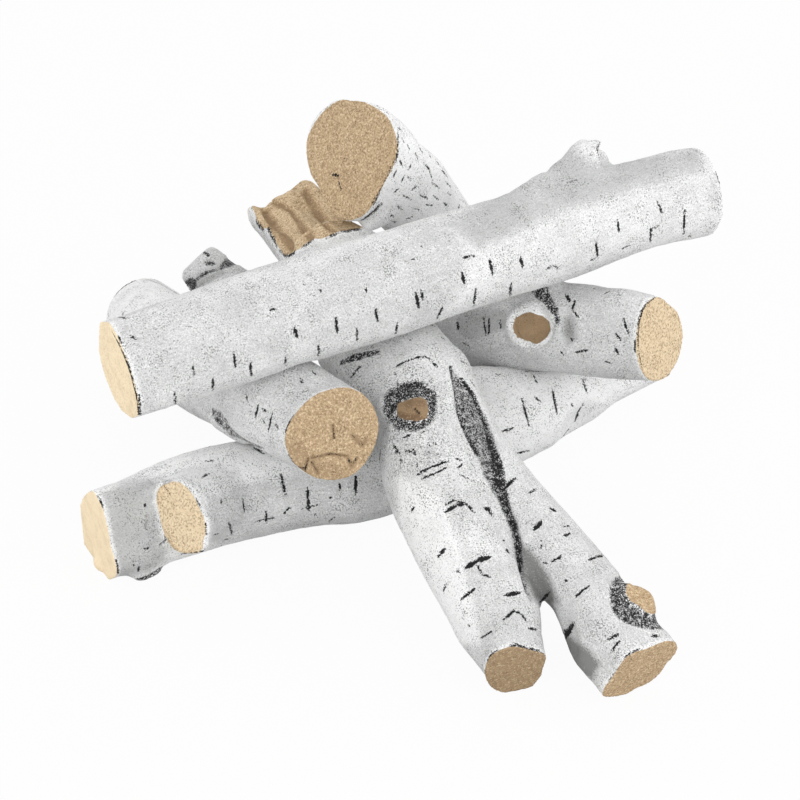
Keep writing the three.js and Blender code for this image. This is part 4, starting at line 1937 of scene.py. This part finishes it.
FORK_STROKES = (
    (415.7, 474.7, 430, 467, 1.6), (430, 467, 448.4, 460.4, 1.8), (420, 479, 436, 472, 1.2),
    (433, 474, 447, 467, 1.2), (445.3, 511.4, 456.5, 504.9, 3), (456.5, 504.9, 463.7, 503.3, 3),
    (445.3, 505, 453.5, 499.5, 1.8), (453.5, 499.5, 467.8, 503.3, 1.6), (467.8, 504.3, 474.9, 511.4, 2.4),
    (486, 507, 490, 510, 4.2), (489, 510, 493, 516, 1.8), (437, 556.7, 445.3, 548.2, 2.6),
    (465.7, 567.6, 476, 561, 4.2), (476, 561, 490.2, 556.3, 4.4), (477, 564.5, 482, 573.7, 1.6),
    (482, 573.7, 490.2, 576.3, 2.2), (507, 548, 509, 552, 3.6), (504, 539, 505, 541, 2.2),
    (504.5, 595, 520.8, 592, 3.4), (504.5, 618.6, 513.7, 610.4, 2.2), (513.7, 610.4, 521, 613, 1.8),
    (521, 613, 527, 620.6, 1.6), (460.6, 599.2, 473.9, 588.6, 2.2), (442.5, 591, 445.5, 584, 1.6),
    (455, 570, 459, 572, 1.6), (479.4, 637.6, 491.2, 630.2, 2), (467, 625.5, 468.6, 626, 1.8),
    (529, 628.4, 537, 629.2, 2), (410, 511, 414, 507, 2), (505.5, 486, 515.7, 477.6, 3),
    (538, 471.5, 542, 474, 1.6), (529.4, 492.6, 537, 488, 1.6), (550.5, 507.5, 555.5, 510.5, 4.6),
    (534, 529.5, 541.5, 522, 4), (564.6, 535, 571, 532.6, 2), (552.4, 561.4, 557, 558.6, 2.4),
    (557, 558.6, 561.2, 556, 2.4), (588, 559.8, 596, 556.5, 2.2), (596, 556.5, 603.5, 554.9, 2.2),
    (544, 561.8, 546.6, 563, 2), (575.5, 596.5, 582, 590, 3), (582, 590, 589, 585.3, 2.2),
    (540, 603, 550.4, 591, 2.6), (564.6, 638, 573.8, 623, 5), (607.5, 639.5, 618.7, 634.3, 2.2),
    (652, 636, 660, 635.6, 2), (565, 580, 566.4, 581.6, 1.8), (402.5, 437.5, 410, 435, 1.4),
    (405, 450, 413.8, 452.5, 1.6), (395, 450, 397, 452.5, 1.4), (416, 460, 417.5, 467.5, 1.2),
    (427.5, 442.5, 430, 446, 1.4), (400, 460, 402.5, 462.5, 1.6), (422.5, 432.5, 425.5, 431, 1.4),
    (435, 442.5, 437.5, 445, 1.2), (380, 450, 378.8, 460, 1.8), (455, 457.5, 462.5, 460, 1.2),
    (462.5, 463.8, 458.8, 467.5, 1.2), (413.8, 448.8, 415, 455, 1.4), (393.8, 445, 400, 453.8, 1.4),
    (460, 473.8, 468.8, 477.5, 1.2), (541, 540, 541, 547.5, 1), (565, 526, 570, 525, 1.6),
    (396, 366, 404, 361.5, 1.6), (406, 360.5, 414, 358, 1.4), (414, 358, 420, 355.5, 1.8),
    (394, 372.5, 396, 374, 1.4), (336, 370, 337, 374, 1.6), (351, 377.5, 355, 371, 1.4),
    (356, 370, 361, 365, 1.4), (470, 380, 476, 387, 1.4), (482, 393, 490, 400, 1.6),
    (492, 404, 498, 411, 1.4), (442, 337, 446, 339, 1.8), (408, 339, 411.5, 341, 1.6),
    (420, 356, 428, 357, 1.6), (428, 357, 437.5, 367, 1.6), (459.4, 360, 469, 364.8, 1.4),
    (400, 354, 401, 355.6, 1.8), (513.7, 642, 521, 646, 2), (525, 647, 539, 650, 1.6),
)
REAR_STROKES = (
    (457.4, 322, 457.8, 330, 1.8), (483, 319, 486, 335, 1.6), (489, 318, 488.4, 334, 1.6),
    (500, 320, 500.4, 328, 1.8), (566, 293, 569, 301, 3), (575, 299, 572, 309, 2),
    (572, 309, 578, 317, 1.6), (605, 292.6, 609, 290.6, 1.6), (623.4, 318.8, 627.8, 333.3, 2),
    (615, 333, 620.6, 340.6, 1.8), (569.6, 339, 572, 341, 3.2), (575, 353, 587, 350, 1.8),
    (638.8, 316, 638.2, 335, 2.6), (642.3, 311.5, 639, 319, 2), (652, 300, 657, 296.6, 2.2),
    (592, 287, 596, 288, 1.2), (462, 343, 468, 346, 1.4), (605, 362, 611, 363, 1.4),
    (560, 352, 563, 355, 1.4),
)
LEFT_STROKES = (
    (258, 405, 255, 418, 1.8), (272, 413, 268, 431, 1.8), (263, 409, 266, 412, 1.4),
    (262, 420, 265, 424, 1.4), (276, 424, 278, 429, 1.4), (300, 378, 303, 384, 1.4),
    (246, 396, 247, 400, 1.4), (312, 370, 316, 375, 1.6),
)
LEANING_STROKES = (
    (408, 177, 413, 180, 1.4), (416, 153, 419, 160, 1.2), (424, 163, 430, 170, 1.4),
    (404, 196, 411, 200, 1.4), (397, 206, 402, 210, 1.4), (432, 183, 440, 188, 1.4),
    (420, 195, 428, 199, 1.4), (407, 143, 410, 149, 1.2), (442, 170, 448, 177, 1.4),
    (389, 214, 395, 218, 1.8), (448, 193, 456, 197, 1.4), (400, 160, 403, 167, 1.2),
    (398, 127, 402, 131, 1.2), (402, 137, 405, 143, 1), (419, 146, 423, 153, 1.2),
    (429, 152, 431, 158, 1), (412, 164, 409, 170, 1.2), (430, 172, 433, 180, 1.2),
    (405, 176, 402, 182, 1.2), (417, 187, 411, 191, 1.2), (399, 189, 395, 193, 1.2),
    (434, 196, 439, 200, 1.2), (446, 182, 451, 187, 1.4), (457, 186, 462, 192, 1.2),
    (426, 205, 433, 206, 1.2), (391, 221, 396, 223, 1.6), (407, 219, 413, 217, 1.4),
    (444, 203, 449, 206, 2.4), (436, 160, 440, 166, 1), (397, 171, 394, 177, 1.2),
    (460, 199, 468, 203, 1.2), (414, 209, 421, 211, 1),
)


# The long log across the front
FRONT_LOG = CastLog(
    node="front_base_log", body="front_base",
    limbs=(limb((-192, -77, 28), (175, 121, 30)),),
    ends=(
        End((0, 0), tone=-0.1, flecks=0.25, outline=FRONT_FACE),
        End((0, 1), tone=0.5, flecks=0.6, kind=EndKind.BROKEN),
        End((182, 519), tone=0.24, flecks=0.45, reach=29, stub=True, outline=BRANCH_FACE, fade=20),
    ),
    seed=11, strokes=FRONT_STROKES,
    bands=(
        # Painted shadow: dark line along the right rim of the branch stub's face.
        Band(((205.5, 524, 1.6), (206, 534, 1.6)), ink_and_shade=1),
        Band(((183, 554, 1.5), (203, 551.5, 1.8)), ink_and_shade=0.9),
    ),
    patches=(
        Patch(UNDERSIDE_DARK, ink_and_shade=0.8, depth=0.8),
        Patch((
            (101, 492), (125, 484), (160, 478), (166, 560), (150, 574), (118, 580),
        ), grey=1.15, soft=7),
        Patch((
            (206, 496), (300, 468), (388, 474), (396, 524), (330, 530), (212, 548),
        ), grey=0.7, soft=10),
        # Painted light: the part under the rear log is kept fully white, offsetting the shadow the rear
        # log casts there.
        Patch(((490, 380), (600, 372), (600, 420), (520, 470), (500, 440)), grey=-1.4, soft=8),
        Patch(BRANCH_FACE, tone=0.24),
    ),
    pulls=(
        Pull((585, 426), (579, 416), 24), Pull((492, 380), (488, 366), 40),
        Pull((476, 374), (468, 366), 22), Pull((95, 562), (91, 566), 10),
        Pull((140, 577), (136, 582), 10), Pull((160, 568), (165, 566), 8),
    ),
    grey=0,
)

# The log across the back, with its broken stub
REAR_LOG = CastLog(
    node="rear_cross_log", body="rear_cross",
    limbs=(limb((-125, 177, 24), (169, 34, 104)),),
    ends=(
        End((0, 0), tone=0.5, flecks=0, lip=-0.6),
        End((0, 1), tone=0.3, flecks=0.1, outline=REAR_FACE),
    ),
    seed=12, strokes=REAR_STROKES,
    knots=(Knot((531, 329), core=10.5, ring=14.5, trench=0.6, swell=1.6, tone=1.2, sink=0.6),),
    patches=(
        Patch(REAR_KNOT_CORE, tone=1.1, depth=1.4),
        Patch(REAR_ARC, ink_and_shade=0.75, depth=0.8),
        # Painted shade in the hollow beside the knot.
        Patch(((562, 318), (570, 314), (577, 324), (577, 340), (567, 347), (561, 336)), grey=1.9, soft=8),
        Patch(STUB_BAND, ink_and_shade=0.72, grey=1.4, depth=2, soft=3),
        Patch(((180, 297), (181, 284), (192, 277), (197, 286), (190, 297)), ink_and_shade=0.9),
    ),
    bands=(
        Band(((566, 314, 7), (568, 334, 10)), depth=0.9),
        # Painted shadow of the top log on the rear log's left part.
        Band(((470, 325, 18), (500, 320, 12)), grey=1.3),
        Band((
            (655, 297.5, 1.4), (648, 303, 1.4), (642, 311, 1.6), (639, 322, 1.8), (638, 335, 1.8),
            (638.5, 350, 1.4), (642, 368, 1.2),
        ), ink_and_shade=1),
        Band(((192, 288, 5), (205, 280, 5), (222, 272, 4)), grey=1.5),
        Band(((205, 252, 2.5), (208, 255, 2.5)), ink_and_shade=0.7),
        Band(((207, 263, 3), (213, 263, 3)), ink_and_shade=0.7, depth=0.8),
        Band(((226, 254, 3), (234, 256, 4)), ink_and_shade=0.7),
    ),
    pulls=(Pull((625, 294), (624, 288), 30),),
    grey=0.6,
)

# The log that comes forward on the left
LEFT_LOG = CastLog(
    node="left_cross_log", body="left_cross",
    limbs=(limb((-180, 172, 23), (-45, -74, 115)),),
    ends=(End((0, 0), tone=0.5, flecks=0.4), End((0, 1), tone=0.72, flecks=0.15, outline=LEFT_FACE)),
    seed=13, strokes=LEFT_STROKES,
    # Painted light: the far end is kept fully white against the shade it lies in.
    patches=(Patch(((96, 268), (200, 288), (235, 330), (100, 335)), grey=-1.6, soft=8),),
    bands=(
        # Dark knot paint on the underside, with painted contact shadow along its tail where the log meets
        # the front log.
        Band((
            (214, 413, 6), (222, 420, 10), (232, 432, 9), (250, 444, 6), (262, 448, 3),
        ), ink_and_shade=0.5, grey=0.6),
        # Painted shade along the top edge of the far end, which turns away from the light.
        Band(((145, 278, 2), (162, 284, 2), (181, 295, 2.4)), grey=1.2),
        Band(((312, 458, 1.4), (330, 454, 1.5), (347, 456, 1.4)), tone=1.5, ink_and_shade=0.75, depth=0.4),
        Band(((348, 459, 2), (352, 466, 2.4), (357, 458, 1.6)), tone=1.2, ink_and_shade=0.6),
        Band(((333, 425, 1.4), (334, 438, 1.5)), tone=1.5, ink_and_shade=0.7),
        Band(((294, 466, 1.5), (305, 469, 1.6)), tone=1.6, ink_and_shade=0.8),
        Band(((305, 471, 1.5), (308, 459, 1.4)), tone=1.6, ink_and_shade=0.85),
        Band(((312, 462, 1.4), (318, 473, 1.4)), tone=1.6, ink_and_shade=0.7),
        Band(((352, 435, 1.6), (362, 445, 2.4), (366, 440, 1.4)), tone=1.2, ink_and_shade=0.55),
        Band(((296, 448, 8), (310, 468, 9), (340, 474, 8)), tone=0.84),
    ),
    grey=0.5,
)

# The Y-shaped log in the middle
FORKED_LOG = ForkedLog(
    node="forked_log", body="forked",
    limbs=(
        limb((-80, 190, 110), (18, -2, 94), True),
        limb((18, -2, 94), (70, -196, 21)),
        limb((18, -2, 94), (144, -197, 25)),
    ),
    ends=(
        End((0, 0), tone=0.6, flecks=0.7, drop=14),
        End((1, 1), tone=0.86, flecks=0.75, reach=36, local=True, outline=LEFT_LEG_FACE, fade=40),
        End((2, 1), tone=0.68, flecks=0.7, reach=40, outline=RIGHT_LEG_FACE, fade=30),
    ),
    seed=14, strokes=FORK_STROKES,
    patches=(
        # Painted light: the lit left side of the left leg is kept fully white.
        Patch((
            (400, 480), (440, 500), (460, 560), (475, 640), (440, 640), (400, 540),
        ), grey=-1.2, soft=10),
        Patch(SPLIT_FACE, tone=0.42),
        Patch((
            (375, 372), (440, 368), (455, 400), (450, 470), (395, 482), (378, 440),
        ), ink_and_shade=0.27, soft=12),
        # Painted shade on the right leg's left flank, between the legs.
        Patch((
            (516, 540), (530, 548), (540, 560), (550, 575), (556, 590), (560, 604), (545, 606),
            (532, 600), (524, 580),
        ), grey=2.1, soft=7),
        # Painted shade low on the right leg's left flank, which the left leg shades.
        Patch((
            (562, 630), (575, 640), (590, 650), (600, 664), (592, 680), (578, 676), (564, 655),
        ), grey=2.6, soft=9),
        # Dark bark in the sunk crotch between the legs, with painted shade over it.
        Patch(GROOVE, ink_and_shade=0.52, grey=1.2, depth=2.6),
        Patch(LEFT_KNOT_RING, ink_and_shade=0.76, grey=0.8, depth=1.4, soft=3.5),
        Patch(LEFT_KNOT_CORE, tone=1.2, depth=-1.2),
        Patch(RIGHT_KNOT_RING, ink_and_shade=0.7, grey=0.8, depth=1.2, soft=3),
        Patch(RIGHT_KNOT_CORE, tone=0.6, depth=-1.4),
    ),
    bands=(
        Band(((341, 362, 3), (355, 357, 5), (376, 352, 3)), ink_and_shade=0.8),
        # Painted shade inside the groove.
        Band(((452, 378, 2), (470, 412, 3), (482, 446, 3)), grey=0.8),
        Band(((400, 445, 12), (440, 455, 10)), grey=0.6),
        # Dark bark lines and painted shade along the groove.
        Band((
            (462, 378, 1.6), (476, 396, 2.2), (488, 420, 3), (494, 445, 4), (498, 468, 6), (500, 488, 6),
            (508, 515, 3.4), (514, 535, 2.6), (524, 570, 1.6),
        ), ink_and_shade=1.15, depth=0.8),
        Band((
            (451, 366, 1.6), (455, 390, 1.6), (458, 410, 1.6), (466, 432, 2), (476, 452, 2.4),
        ), ink_and_shade=1.1),
        # Painted shadow inside the left knot's sunk top edge.
        Band(((396, 392, 2), (404, 390, 3), (414, 388, 3), (420, 391, 2)), ink_and_shade=1, depth=0.6),
        Band(((404, 404, 4), (414, 402, 5), (423, 403, 4)), tone=1.4),
        Band(((398, 414, 3), (408, 418, 4), (420, 417, 3)), tone=1.5),
        Band(((415, 409, 1.6), (419, 413, 1.6)), tone=1.6, ink_and_shade=0.9, depth=0.6),
        # Painted shade on the right leg's left flank.
        Band(((550, 600, 7), (558, 620, 7)), grey=1.4),
        # Painted shade in the split's sunk valleys.
        Band((
            (263, 205, 4), (268, 215, 5), (275, 226, 6), (283, 238, 7), (289, 246, 6),
        ), tone=1.15, depth=3.2),
        Band((
            (272, 202, 2.5), (282, 206, 3), (291, 211, 3), (303, 227, 4), (309, 236, 5),
        ), tone=1.05, depth=2.2),
        Band((
            (305, 190, 4), (311, 200, 5), (318, 213, 5), (326, 223, 4), (333, 229, 3),
        ), tone=0.95, depth=2.4),
        Band(((301, 190, 3), (309, 208, 4), (317, 220, 3), (322, 229, 3)), depth=-1),
    ),
    pulls=(
        Pull((303, 195), (303, 177), 20), Pull((289, 199), (289, 190), 14),
        Pull((272, 202), (271, 197), 10), Pull((252, 213), (250, 206), 16),
        Pull((540, 596), (548, 604), 12), Pull((557, 640), (567, 640), 17),
        Pull((645, 600), (651, 596), 16), Pull((622, 588), (629, 581), 13),
        Pull((358, 358), (318, 364), 46), Pull((374, 384), (350, 388), 38),
        Pull((360, 230), (376, 232), 22), Pull((370, 234), (384, 236), 18),
    ),
    grey=0.55, hidden_marks=40, skin=1.28,
)

# The log that leans against the split end
LEANING_LOG = CastLog(
    node="leaning_log", body="leaning",
    limbs=(limb((46, 246, -8), (-34, 146, 168)),),
    ends=(End((0, 1), tone=0.57, flecks=0.05, outline=LEANING_FACE, fade=75),),
    seed=15, strokes=LEANING_STROKES,
    bands=(
        Band(((360, 221, 2), (372, 214, 4.5), (381, 205, 3)), ink_and_shade=0.75),
        Band((
            (398, 128, 1.4), (398, 142, 1.6), (396, 156, 1.2), (390, 170, 1.6), (383, 185, 1.2),
            (372, 203, 2),
        ), ink_and_shade=0.8),
        Band(((333, 175, 1.8), (338, 175.5, 2)), ink_and_shade=1.1),
        Band(((344, 158.6, 1.4), (349, 158.4, 1.4)), ink_and_shade=1),
        Band(((338.5, 182, 1.4), (341, 190, 1.5)), ink_and_shade=1),
    ),
    pulls=(
        Pull((409, 127), (404, 129), 15), Pull((430, 160), (436, 158), 26),
        Pull((446, 181), (452, 179), 26), Pull((378, 224), (371, 234), 15),
    ),
    grey=-0.8, hidden_marks=16,
)

# The longest log, on top
TOP_LOG = CastLog(
    node="top_log", body="top",
    limbs=(limb((-173, -75, 160), (206, 140, 147)),),
    ends=(
        End((0, 0), tone=0, flecks=0.1, outline=TOP_FACE),
        End((0, 1), tone=0.5, flecks=0.35, trim=8.5, lip=-0.6),
    ),
    seed=16, strokes=TOP_STROKES,
    bands=(
        Band(((540, 172, 6), (556, 176, 8), (575, 170, 8), (595, 178, 5)), grey=0.8),
        Band((
            (112, 332, 1.2), (118, 343, 1.5), (122.5, 352.5, 1.5), (127.5, 365, 1.8), (131.5, 377.5, 1.8),
            (135, 392, 1.6), (138, 406, 1.8), (138.5, 417, 2.2),
        ), ink_and_shade=1.2),
    ),
    patches=(
        Patch((
            (96, 322), (300, 262), (460, 212), (480, 262), (440, 322), (300, 354), (140, 416),
        ), grey=0.62, soft=20),
        Patch((
            (440, 224), (500, 190), (540, 172), (570, 145), (592, 160), (620, 158), (700, 145),
            (706, 172), (640, 188), (560, 214), (480, 250),
        ), grey=1, soft=14),
    ),
    pulls=(
        Pull((680, 200), (680, 196), 90), Pull((541, 186), (540, 177), 22),
        Pull((520, 190), (519, 187), 20), Pull((611, 165), (606, 163), 8),
        Pull((609, 157), (602, 154), 9), Pull((599, 147), (600, 137), 10),
        Pull((579, 142), (581, 138), 10), Pull((556, 169), (550, 166), 16),
        Pull((608, 156), (601, 157), 11), Pull((690, 151), (690, 147), 40),
        Pull((600, 142), (602, 137), 8), Pull((605, 156), (598, 156), 9), Pull((609, 162), (604, 161), 8),
        Pull((590, 140), (590, 136), 12), Pull((545, 176), (543, 171), 14),
    ),
    grey=0.3, hidden_marks=30, skin=1.21,
)

LOGS = (FRONT_LOG, REAR_LOG, LEFT_LOG, FORKED_LOG, LEANING_LOG, TOP_LOG)


def main() -> None:
    """Builds the studio and the six logs."""
    logging.basicConfig(level=logging.INFO)
    packed_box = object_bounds()
    bpy.context.scene.view_settings.view_transform = "Standard"
    CAMERA.build()
    Studio().build()
    pile = Pile()
    finish = BirchFinish().build()
    box = tuple(np.array(corner) / MM for corner in packed_box)
    for log in LOGS:
        log.build(pile, finish, box)


if __name__ == "__main__":
    main()
